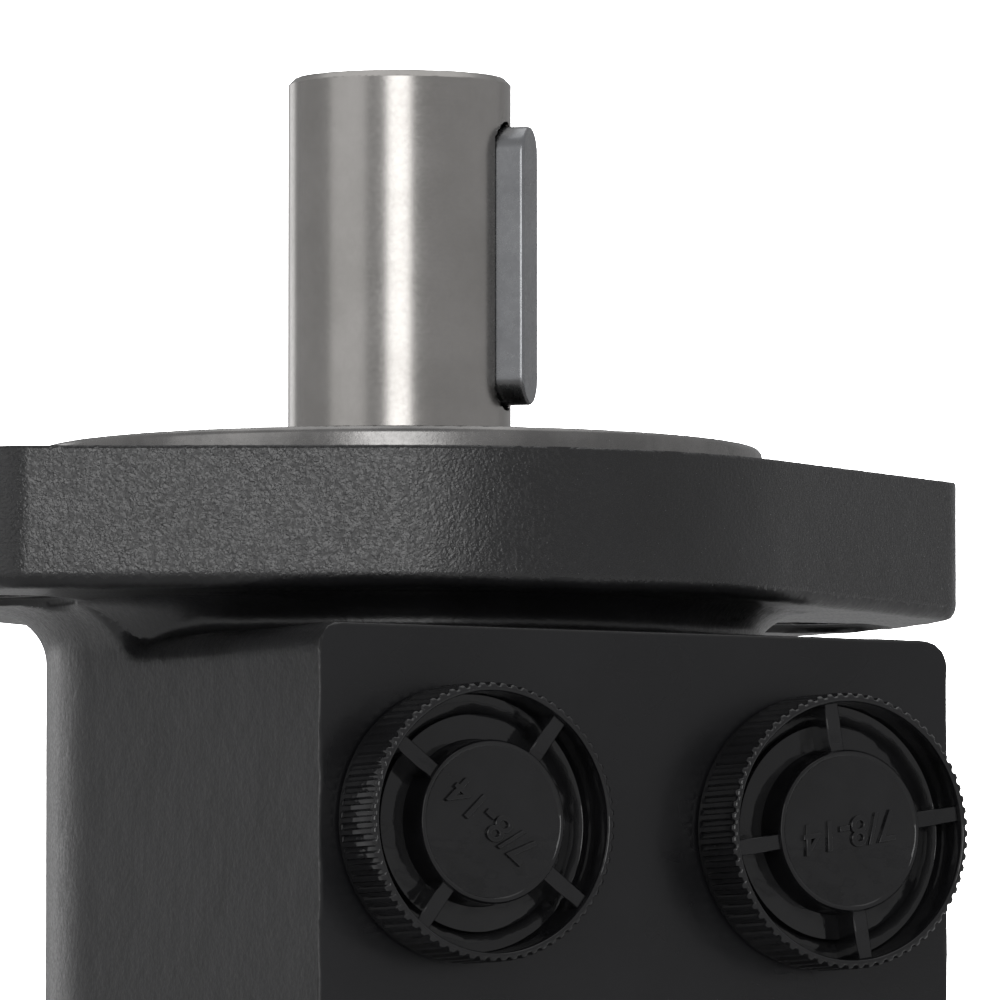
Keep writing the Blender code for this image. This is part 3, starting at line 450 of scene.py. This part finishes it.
def lathe(name, profile, sides, closed=False, sharp=32):
    """A turned mesh from (radius, height) points; closed makes a ring with a hole."""
    angles = np.arange(sides) * 2 * math.pi / sides
    rows = [
        np.stack([r * np.cos(angles), r * np.sin(angles), np.full(sides, z)], axis=1)
        for r, z in profile
    ]
    vertices = np.concatenate(rows)
    faces = []
    count = len(profile)
    for row in range(count if closed else count - 1):
        a = row * sides + np.arange(sides)
        b = row * sides + (np.arange(sides) + 1) % sides
        shift = ((row + 1) % count - row) * sides
        faces.append(np.stack([a, b, b + shift], axis=1))
        faces.append(np.stack([a, b + shift, a + shift], axis=1))
    mesh = mesh_from(name, vertices, np.concatenate(faces))
    mesh.set_sharp_from_angle(angle=math.radians(sharp))
    return mesh


# ---------------------------------------------------------------- materials


class Finish:
    """A procedural material under construction, in the piece's own coordinates."""

    def __init__(self, name):
        self.material = bpy.data.materials.new(name)
        self.material.use_nodes = True
        self.nodes = self.material.node_tree.nodes
        self.links = self.material.node_tree.links
        self.shader = self.nodes["Principled BSDF"]
        self.position = self.nodes.new("ShaderNodeTexCoord").outputs["Object"]

    def add(self, kind, inputs=(), **settings):
        node = self.nodes.new(kind)
        for key, value in settings.items():
            setattr(node, key, value)
        for key, value in dict(inputs).items():
            if isinstance(value, bpy.types.NodeSocket):
                self.links.new(value, node.inputs[key])
            else:
                node.inputs[key].default_value = value
        return node

    def stretched(self, scale):
        node = self.add("ShaderNodeMapping", {"Vector": self.position, "Scale": scale})
        return node.outputs["Vector"]

    def turned_place(self, radial, axial):
        """Coordinates by radius and height, so that marks run round the axis."""
        parts = self.add("ShaderNodeSeparateXYZ", {"Vector": self.position})
        flat = self.add("ShaderNodeCombineXYZ", {"X": parts.outputs["X"], "Y": parts.outputs["Y"]})
        length = self.add("ShaderNodeVectorMath", {0: flat.outputs[0]}, operation="LENGTH")
        out = self.add("ShaderNodeMath", {0: length.outputs["Value"], 1: radial}, operation="MULTIPLY")
        up = self.add("ShaderNodeMath", {0: parts.outputs["Z"], 1: axial}, operation="MULTIPLY")
        both = self.add("ShaderNodeCombineXYZ", {"X": out.outputs[0], "Z": up.outputs[0]})
        return both.outputs[0]

    def noise(self, scale, detail=3.0, roughness=0.55, place=None):
        inputs = {
            "Vector": place or self.position,
            "Scale": scale,
            "Detail": detail,
            "Roughness": roughness,
        }
        return self.add("ShaderNodeTexNoise", inputs).outputs["Fac"]

    def between(self, value, low, high, start=0.3, end=0.7):
        inputs = {"Value": value, 1: start, 2: end, 3: low, 4: high}
        return self.add("ShaderNodeMapRange", inputs).outputs["Result"]

    def colours(self, value, low, high, start=0.35, end=0.65):
        node = self.add("ShaderNodeValToRGB", {"Fac": value})
        first, last = node.color_ramp.elements
        first.position, last.position = start, end
        first.color, last.color = (*low, 1), (*high, 1)
        return node.outputs["Color"]

    def bump(self, height, distance, strength=1.0, under=None):
        inputs = {"Height": height, "Distance": distance, "Strength": strength}
        if under is not None:
            inputs["Normal"] = under
        return self.add("ShaderNodeBump", inputs).outputs["Normal"]

    def finish(self, colour, roughness, normal, **constants):
        self.links.new(colour, self.shader.inputs["Base Color"])
        self.links.new(roughness, self.shader.inputs["Roughness"])
        self.links.new(normal, self.shader.inputs["Normal"])
        for name, value in constants.items():
            self.shader.inputs[name.replace("_", " ")].default_value = value
        return self.material


def cast_paint():
    """Black paint over a sand casting: orange peel over lumps."""
    f = Finish("cast_paint")
    tone = f.noise(90, 4)
    speck = f.noise(2600, 2)
    colour = f.colours(tone, (0.006, 0.006, 0.0065), (0.011, 0.011, 0.012))
    roughness = f.between(speck, 0.28, 0.42)
    lumps = f.bump(f.noise(210, 2, 0.5), 0.00010)
    peel = f.bump(f.noise(1300, 3, 0.6), 0.00006, under=lumps)
    return f.finish(colour, roughness, peel, Specular_IOR_Level=0.56)


def flange_paint():
    """The paint on the flange's rim, which has a coarser, glossier skin."""
    f = Finish("flange_paint")
    tone = f.noise(90, 4)
    speck = f.noise(1900, 2)
    colour = f.colours(tone, (0.006, 0.006, 0.0065), (0.010, 0.010, 0.011))
    roughness = f.between(speck, 0.10, 0.34, 0.4, 0.6)
    lumps = f.bump(f.noise(260, 2, 0.5), 0.00002)
    peel = f.bump(f.noise(2600, 2, 0.6), 0.00009, under=lumps)
    return f.finish(colour, roughness, peel, Specular_IOR_Level=0.74)


def machined_paint():
    """The same paint over a milled face: smooth, with faint tool marks."""
    f = Finish("machined_paint")
    tone = f.noise(60, 3)
    marks = f.noise(1.0, 3, place=f.stretched((120, 300, 2600)))
    colour = f.colours(tone, (0.007, 0.007, 0.008), (0.010, 0.010, 0.0115))
    roughness = f.between(tone, 0.24, 0.34)
    peel = f.bump(f.noise(260, 2), 0.00005)
    return f.finish(colour, roughness, f.bump(marks, 0.000006, under=peel))


def turned_metal(name, low, high, rough, mark=0.00001, speck=0.000012):
    """Bare metal with fine marks round the axis and a little grain."""
    f = Finish(name)
    place = f.turned_place(4200, 4200)
    marks = f.noise(1.0, 4, 0.6, place)
    stain = f.noise(140, 4, 0.6)
    grain = f.noise(1900, 3, 0.7)
    colour = f.colours(stain, low, high)
    roughness = f.between(grain, rough[0], rough[1])
    normal = f.bump(marks, mark)
    return f.finish(colour, roughness, f.bump(grain, speck, under=normal), Metallic=1.0)


def plain_metal(name, low, high, rough, bump=0.000015, scale=900):
    f = Finish(name)
    colour = f.colours(f.noise(160, 4), low, high)
    grain = f.noise(scale, 3, 0.65)
    roughness = f.between(grain, rough[0], rough[1])
    return f.finish(colour, roughness, f.bump(grain, bump), Metallic=1.0)


def plastic():
    f = Finish("gloss_plastic")
    colour = f.colours(f.noise(120, 3), (0.006, 0.006, 0.0065), (0.011, 0.011, 0.012))
    roughness = f.between(f.noise(300, 4), 0.05, 0.13)
    ripple = f.bump(f.noise(150, 2), 0.00040)
    return f.finish(colour, roughness, f.bump(f.noise(1500, 2), 0.00001, under=ripple))


def rubber():
    f = Finish("seal_rubber")
    colour = f.colours(f.noise(400, 4), (0.008, 0.008, 0.008), (0.016, 0.015, 0.014))
    roughness = f.between(f.noise(900, 3), 0.5, 0.72)
    return f.finish(colour, roughness, f.bump(f.noise(1400, 3), 0.00003))


def bolt_paint():
    f = Finish("bolt_paint")
    colour = f.colours(f.noise(300, 4), (0.011, 0.011, 0.012), (0.020, 0.020, 0.021))
    roughness = f.between(f.noise(1200, 3), 0.34, 0.5)
    return f.finish(colour, roughness, f.bump(f.noise(1100, 3), 0.00003))


def studio_white():
    f = Finish("studio_white")
    colour = f.colours(f.noise(3, 4), (0.78, 0.78, 0.78), (0.82, 0.82, 0.82))
    roughness = f.between(f.noise(40, 3), 0.7, 0.9)
    return f.finish(colour, roughness, f.bump(f.noise(300, 3), 0.0002))


def make_finishes():
    return {
        "cast": cast_paint(),
        "machined": machined_paint(),
        "flange": flange_paint(),
        "pilot": turned_metal("turned_iron", (0.22, 0.216, 0.212), (0.31, 0.303, 0.296), (0.20, 0.30)),
        "shaft": turned_metal(
            "ground_steel", (0.38, 0.367, 0.35), (0.43, 0.415, 0.398), (0.20, 0.27), 0.000003, 0.000004
        ),
        "key": plain_metal("key_steel", (0.30, 0.305, 0.315), (0.36, 0.366, 0.376), (0.22, 0.30)),
        "hard": turned_metal("hardened_steel", (0.30, 0.29, 0.28), (0.40, 0.39, 0.38), (0.2, 0.3)),
        "zinc": plain_metal("zinc_plate", (0.50, 0.51, 0.53), (0.62, 0.62, 0.62), (0.28, 0.42)),
        "iron": turned_metal("cover_iron", (0.33, 0.32, 0.31), (0.42, 0.41, 0.40), (0.32, 0.46)),
        "plastic": plastic(),
        "rubber": rubber(),
        "bolt": bolt_paint(),
        "studio": studio_white(),
    }


# ---------------------------------------------------------------- pieces


def place(name, mesh, body, node, slot, finishes, matrix=None):
    """Puts a finished mesh in the scene, on its body, in place of its CAD node."""
    item = bpy.data.objects.new(name, mesh)
    bpy.context.scene.collection.objects.link(item)
    if matrix is not None:
        item.matrix_world = matrix
    if not mesh.materials:
        for finish in finishes:
            mesh.materials.append(finish)
    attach(item, body)
    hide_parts(node)
    return item


def outward(x):
    """A placement on the port face whose own +Z points along -Y."""
    spot = Matrix.Translation(Vector((x, PORT_FACE_Y, PORT_Z)) * MM)
    return spot @ Matrix.Rotation(math.pi / 2, 4, "X")


def make_housing(finish):
    axes = (
        lines(-66.5, 66.5, 0.85, ((-40.7, -39.7, 0.33), (39.7, 40.7, 0.33))),
        lines(-55.5, 50, 0.85, ((-54.2, -53.2, 0.33),)),
        lines(38.4, 144, 1.05, ((118.4, 128.0, 0.5), (138.9, 142.9, 0.35))),
    )
    mesh, flat, centres = sculpt("housing_casting", housing_field, axes)
    radius = np.hypot(centres[:, 0], centres[:, 1])
    kind = np.zeros(len(flat), int)
    rim = flange_plan(centres[:, 0], centres[:, 1]) > -0.7
    kind[rim & (centres[:, 2] > 125.0) & (centres[:, 1] > -51.0)] = 3
    milled = (flat[:, 1] < -0.97) & (centres[:, 1] < PORT_FACE_Y + 0.2)
    kind[milled | (centres[:, 2] > FLANGE - 0.15)] = 1
    kind[(centres[:, 2] > FLANGE + 0.12) & (radius > 34)] = 2
    kind[(radius < 35.6) & (centres[:, 1] > PORT_FACE_Y + 3)] = 2
    kind[(centres[:, 2] < HOUSING_BOTTOM + 0.05)] = 2
    ports = np.hypot(np.abs(centres[:, 0]) - PORT_X, centres[:, 2] - PORT_Z)
    kind[(ports < 13.2) & (centres[:, 1] > PORT_FACE_Y + 0.1) & (centres[:, 1] < -30)] = 2
    mesh.polygons.foreach_set("material_index", kind)
    finishes = [finish["cast"], finish["machined"], finish["pilot"], finish["flange"]]
    place("housing_casting", mesh, "housing", "housing", "black_paint", finishes)


def make_shaft(finish):
    axes = (
        lines(-22.3, 22.3, 0.55),
        lines(-22.3, 22.3, 0.55),
        lines(52.5, 186, 1.0, ((140, 148.5, 0.4), (178.5, 185.5, 0.35))),
    )
    mesh, _, _ = sculpt("keyed_shaft", shaft_field, axes)
    place("keyed_shaft", mesh, "output", "output_shaft", "ground_steel", [finish["shaft"]])
    axes = (lines(8.5, 16.2, 0.25), lines(-3.9, 3.9, 0.25), lines(-16.6, 16.6, 0.3))
    mesh, _, _ = sculpt("round_end_key", key_field, axes)
    spot = Matrix.Translation((0, 0, KEY_MIDDLE * MM)) @ Matrix.Rotation(KEY_ANGLE, 4, "Z")
    place("round_end_key", mesh, "output", "shaft_key", "ground_steel", [finish["key"]], spot)


def make_front_end(finish):
    axes = (lines(-36, 36, 0.7), lines(-36, 36, 0.7), lines(126.5, 143.6, 0.6))
    mesh, _, _ = sculpt("seal_cover", cover_field, axes)
    place("seal_cover", mesh, "housing", "front_cover", "machined_iron", [finish["iron"]])
    axes = (lines(-4.8, 4.8, 0.22), lines(-4.8, 4.8, 0.22), lines(-13, 5.6, 0.4))
    mesh, _, _ = sculpt("socket_screw", socket_screw_field, axes)
    for number, angle in enumerate(SCREW_ANGLES, start=1):
        x, y = SCREW_CIRCLE * math.cos(angle), SCREW_CIRCLE * math.sin(angle)
        spot = Matrix.Translation(Vector((x, y, FLANGE - 2.7)) * MM)
        spot = spot @ Matrix.Rotation(angle * 1.7, 4, "Z")
        name = f"cover_screw_{number}"
        place(f"socket_screw_{number}", mesh, "housing", name, "zinc_steel", [finish["zinc"]], spot)
    lip = [(16.9, 139.2), (16.9, 142.0), (16.7, 142.2), (14.6, 142.2), (14.2, 141.9), (13.6, 142.1)]
    lip += [(13.2, 141.9), (13.0, 141.5), (13.1, 141.1), (13.9, 139.2)]
    mesh = lathe("wiper_seal", lip[::-1], 160, closed=True)
    place("wiper_seal", mesh, "housing", "dust_seal", "seal_rubber", [finish["rubber"]])


def make_rear_end(finish):
    """The gear set's plates and the end cap, with small rolled edges, and the seven bolts."""
    stack = (
        ("spacer_disc", "spacer_plate", 31.3, 39.3, 13.0),
        ("gear_ring", "geroler_ring", 15.0, 31.0, 32.7),
    )
    for name, node, low, high, bore in stack:
        rim = [(bore, high), (47.6, high), (47.88, high - 0.12), (48.0, high - 0.4)]
        rim += [(48.0, low + 0.4), (47.88, low + 0.12), (47.6, low), (bore, low)]
        mesh = lathe(name, rim[::-1], 240, closed=True)
        place(name, mesh, "housing", node, "black_paint", [finish["cast"]])
    cap = [(0.01, 14.7), (47.6, 14.7), (48.0, 14.3)]
    turns = [math.pi / 2 * i / 8 for i in range(9)]
    cap += [(46.5 + 1.5 * math.cos(t), 1.5 - 1.5 * math.sin(t)) for t in turns]
    cap.append((0.01, 0.0))
    mesh = lathe("rear_cap", cap[::-1], 240)
    place("rear_cap", mesh, "housing", "end_cap", "black_paint", [finish["cast"]])
    axes = (lines(-7.8, 7.8, 0.3), lines(-7.8, 7.8, 0.3), lines(-5.9, 54, 1.4, ((-5.8, 0.4, 0.25),)))
    mesh, _, _ = sculpt("cap_bolt", end_bolt_field, axes)
    for number, angle in enumerate(BOLT_ANGLES, start=1):
        x, y = BOLT_CIRCLE * math.cos(angle), BOLT_CIRCLE * math.sin(angle)
        spot = Matrix.Translation(Vector((x, y, -0.3)) * MM) @ Matrix.Rotation(angle * 2.3, 4, "Z")
        name = f"end_bolt_{number}"
        place(f"cap_bolt_{number}", mesh, "housing", name, "black_bolt", [finish["bolt"]], spot)


def make_drain(finish):
    spot = Matrix.Translation(Vector((0, 44.0, DRAIN_Z)) * MM) @ Matrix.Rotation(-math.pi / 2, 4, "X")
    axes = (lines(-10.3, 10.3, 0.35), lines(-10.3, 10.3, 0.35), lines(-10.6, 8.9, 0.35))
    mesh, _, _ = sculpt("drain_screw", drain_plug_field, axes)
    place("drain_screw", mesh, "housing", "drain_plug", "zinc_steel", [finish["zinc"]], spot)
    ring = [(6.1, 0.5), (6.3, 0.3), (9.0, 0.3), (9.2, 0.5), (9.2, 1.6), (9.0, 1.8), (6.3, 1.8)]
    mesh = lathe("drain_washer", ring + [(6.1, 1.6)], 120, closed=True)
    place("drain_washer", mesh, "housing", "drain_seal", "seal_rubber", [finish["rubber"]], spot)


# ---------------------------------------------------------------- port plugs


def plug_profile():
    """Radius, height and share of the knurl, from the disc's centre round to the stem's end."""
    rows = [(0.01, 7.86, 0), (2.5, 7.85, 0), (5.0, 7.81, 0), (7.2, 7.74, 0), (8.3, 7.69, 0)]
    rows += [(8.42, 7.8, 0), (8.6, 7.9, 0), (8.8, 7.88, 0), (8.95, 7.72, 0)]
    rows += [(9.0, 7.4, 0), (9.05, 4.3, 0), (9.2, 4.05, 0)]
    rows += [(11.6, 4.0, 0), (11.9, 3.92, 0), (12.0, 3.7, 0), (12.05, 2.95, 0), (12.3, 2.8, 0)]
    rows += [(13.8, 2.8, 0), (14.1, 2.95, 0), (14.2, 3.3, 0), (14.25, 7.6, 0), (14.3, 7.95, 0)]
    rows += [(14.42, 8.13, 0), (14.6, 8.2, 0.1), (14.72, 8.17, 0.35), (14.84, 8.05, 0.7)]
    rows += [(14.93, 7.86, 0.95), (14.98, 7.6, 1), (15.0, 6.5, 1), (15.0, 4.5, 1)]
    rows += [(15.0, 2.0, 1), (15.0, 1.3, 1), (15.02, 1.1, 0.4), (15.1, 0.95, 0), (15.2, 0.6, 0)]
    rows += [(15.15, 0.4, 0), (15.0, 0.3, 0), (11.0, 0.3, 0), (10.4, 0.3, 0), (10.0, 0.1, 0)]
    rows += [(9.25, -0.4, 0)]
    return rows


def plug_head(columns):
    """The plug's lathe rows as arrays, with the knurl, the thread and the hollow stem."""
    angles = np.arange(columns) * 2 * math.pi / columns
    ridge = np.clip(0.62 + 1.1 * np.cos(KNURLS * angles), 0, 1)
    rows = [(r + 0.31 * knurl * ridge, z) for r, z, knurl in plug_profile()]
    for z in np.arange(-0.7, -10.9, -0.26):
        turn = (z / 1.814 - angles / (2 * math.pi)) % 1.0
        tooth = np.clip(1.35 - 3.2 * np.abs(turn - 0.5), 0, 1)
        fade = min(1.0, (z + 10.9) / 0.6, (-0.6 - z) / 0.4)
        rows.append((9.25 + 0.72 * tooth * max(fade, 0.0), z))
    for r, z in ((9.2, -11.0), (8.9, -11.5), (8.3, -11.5), (8.2, -11.3), (8.2, 5.4), (7.8, 5.6)):
        rows.append((r, z))
    rows.append((0.01, 5.6))
    return [
        np.stack([r * np.cos(angles), r * np.sin(angles), np.full(columns, z)], axis=1)
        for r, z in [(np.broadcast_to(r, columns), z) for r, z in rows]
    ]


def rounded_bar(low, high, edge, turn):
    """A bar between two corners with its edges cut back, turned about the axis."""
    middle = (np.array(low) + np.array(high)) / 2
    half = (np.array(high) - np.array(low)) / 2
    points = []
    for axis in range(3):
        b, c = (axis + 1) % 3, (axis + 2) % 3
        for side in (-1, 1):
            order = ((-1, -1), (1, -1), (1, 1), (-1, 1))
            for sb, sc in order[::side]:
                point = np.empty(3)
                point[axis] = side * half[axis]
                point[b], point[c] = sb * (half[b] - edge), sc * (half[c] - edge)
                points.append(middle + point)
    return hull(np.array(points), turn)


def hull(points, turn):
    """The convex hull of a few points, turned about the axis, as vertices and triangles."""
    shape = bmesh.new()
    for point in points:
        shape.verts.new(point)
    bmesh.ops.convex_hull(shape, input=shape.verts)
    bmesh.ops.triangulate(shape, faces=shape.faces)
    bmesh.ops.recalc_face_normals(shape, faces=shape.faces)
    bmesh.ops.rotate(shape, matrix=Matrix.Rotation(turn, 3, "Z"), verts=shape.verts)
    shape.verts.index_update()
    vertices = np.array([vertex.co[:] for vertex in shape.verts])
    faces = np.array([[vertex.index for vertex in face.verts] for face in shape.faces])
    shape.free()
    return vertices, faces


def raised_text(turn):
    """The thread's size in raised figures across the disc, as vertices and triangles."""
    curve = bpy.data.curves.new("thread_size", "FONT")
    curve.body = "7/8-14"
    curve.size = 4.7
    curve.shear = 0.15
    curve.extrude = 0.22
    curve.bevel_depth = 0.17
    curve.offset = -0.07
    curve.align_x, curve.align_y = "CENTER", "CENTER"
    item = bpy.data.objects.new("thread_size", curve)
    bpy.context.scene.collection.objects.link(item)
    bpy.context.view_layer.update()
    mesh = bpy.data.meshes.new_from_object(item)
    mesh.calc_loop_triangles()
    vertices = np.array([vertex.co[:] for vertex in mesh.vertices])
    faces = np.array([triangle.vertices[:] for triangle in mesh.loop_triangles])
    bpy.data.objects.remove(item)
    bpy.data.curves.remove(curve)
    bpy.data.meshes.remove(mesh)
    turned_to = np.array(Matrix.Rotation(math.radians(turn), 3, "Z"))
    return vertices @ turned_to.T + np.array([0, 0, 7.86]), faces


def make_plug(side, x, finish):
    columns = KNURLS * 12
    rows = plug_head(columns)
    vertices = np.concatenate(rows)
    a = np.arange(columns)
    b = (a + 1) % columns
    faces = []
    for row in range(len(rows) - 1):
        low, high = row * columns, (row + 1) * columns
        faces.append(np.stack([low + a, high + a, high + b], axis=1))
        faces.append(np.stack([low + a, high + b, low + b], axis=1))
    parts = [(vertices, np.concatenate(faces))]
    for spoke in range(4):
        turn = math.radians(PLUG_TURNS[side] + 90 * spoke)
        parts.append(rounded_bar((8.5, -0.9, 2.5), (14.3, 0.9, 7.45), 0.12, turn))
    parts.append(raised_text(PLUG_TEXT_TURNS[side]))
    starts = np.cumsum([0] + [len(points) for points, _ in parts])
    triangles = np.concatenate([faces + start for (_, faces), start in zip(parts, starts)])
    mesh = mesh_from(f"screw_plug_{side}", np.concatenate([p for p, _ in parts]), triangles)
    mesh.set_sharp_from_angle(angle=math.radians(38))
    place(
        f"screw_plug_{side}", mesh, f"{side}_plug", f"port_plug_{side}", "black_plastic",
        [finish["plastic"]], outward(x),
    )


# ---------------------------------------------------------------- the rest


def dress_inner_nodes(finish):
    """Procedural materials for the CAD nodes that stay as they are."""
    for name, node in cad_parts.items():
        kind = "rubber" if "seal" in name or "o_ring" in name else "hard"
        node.data.materials.clear()
        node.data.materials.append(finish[kind])


def make_studio(finish):
    """A pale floor that sweeps up into a pale wall behind the motor."""
    reach, floor, bend, radius, wall_top = 7.0, -0.0057, 4.4, 0.8, 4.2
    profile = [(-reach, floor), (bend, floor)]
    for step in range(1, 17):
        turn = math.pi / 2 * step / 16
        profile += [(bend + radius * math.sin(turn), floor + radius * (1 - math.cos(turn)))]
    profile += [(bend + radius, wall_top)]
    vertices = [(x, y, z) for y, z in profile for x in (-reach, reach)]
    faces = [(2 * i, 2 * i + 1, 2 * i + 3, 2 * i + 2) for i in range(len(profile) - 1)]
    mesh = bpy.data.meshes.new("sweep")
    mesh.from_pydata(vertices, [], faces)
    mesh.shade_smooth()
    mesh.materials.append(finish["studio"])
    sweep = bpy.data.objects.new("sweep", mesh)
    bpy.context.scene.collection.objects.link(sweep)
    sweep.rotation_euler = (0, 0, math.radians(-29.6))


def area_light(name, position, target, width, height, power):
    light = bpy.data.lights.new(name, "AREA")
    light.shape = "RECTANGLE"
    light.size, light.size_y = width, height
    light.energy = power
    item = bpy.data.objects.new(name, light)
    item.location = position
    aim = Vector(target) - Vector(position)
    item.rotation_euler = aim.to_track_quat("-Z", "Y").to_euler()
    item.visible_camera = False
    bpy.context.scene.collection.objects.link(item)


def spot_light(name, place_at, aim_at, power, angle):
    """A round light thrown on the backdrop, so that it burns out to white."""
    spot = bpy.data.lights.new(name, "SPOT")
    spot.energy = power
    spot.spot_size = math.radians(angle)
    spot.spot_blend = 0.3
    item = bpy.data.objects.new(name, spot)
    item.location = place_at
    aim = Vector(aim_at) - item.location
    item.rotation_euler = aim.to_track_quat("-Z", "Y").to_euler()
    bpy.context.scene.collection.objects.link(item)


def make_world():
    """Even grey light from all round."""
    world = bpy.data.worlds.new("studio")
    bpy.context.scene.world = world
    world.use_nodes = True
    background = world.node_tree.nodes["Background"]
    background.inputs["Color"].default_value = (0.41, 0.41, 0.415, 1)
    background.inputs["Strength"].default_value = 1.0


def make_lights():
    """A tall soft window near the camera, a rim light behind, a left fill and an overhead."""
    middle = (0, 0, 0.12)
    area_light("window", (-1.13, -1.97, 0.35), middle, 0.95, 1.5, 11.5)
    area_light("rim", (-0.10, 2.0, 0.35), middle, 0.7, 1.3, 2.6)
    area_light("left_fill", (-2.1, -0.2, 0.5), middle, 1.6, 1.6, 3.6)
    area_light("overhead", (0.2, 0.4, 2.3), middle, 2.4, 2.4, 10)
    spot_light("backdrop_spot", (1.72, 2.96, 1.93), (2.534, 4.461, 0.48), 1450, 21)
    make_world()


def make_camera():
    """The camera as the fit to the photo placed it."""
    camera = bpy.data.cameras.new("camera")
    camera.lens = 514.1
    camera.sensor_width = 36
    camera.clip_start = 0.05
    item = bpy.data.objects.new("camera", camera)
    item.location = (-0.7907, -1.4148, 0.0275)
    item.rotation_euler = Vector((0.4929, 0.8675, 0.0673)).to_track_quat("-Z", "Y").to_euler()
    bpy.context.scene.collection.objects.link(item)
    bpy.context.scene.camera = item
    bpy.context.scene.view_settings.view_transform = "Standard"


def main():
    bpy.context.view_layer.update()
    finish = make_finishes()
    make_housing(finish)
    make_shaft(finish)
    make_front_end(finish)
    make_rear_end(finish)
    make_drain(finish)
    for side, x in (("left", -PORT_X), ("right", PORT_X)):
        make_plug(side, x, finish)
    dress_inner_nodes(finish)
    make_studio(finish)
    make_lights()
    make_camera()


main()
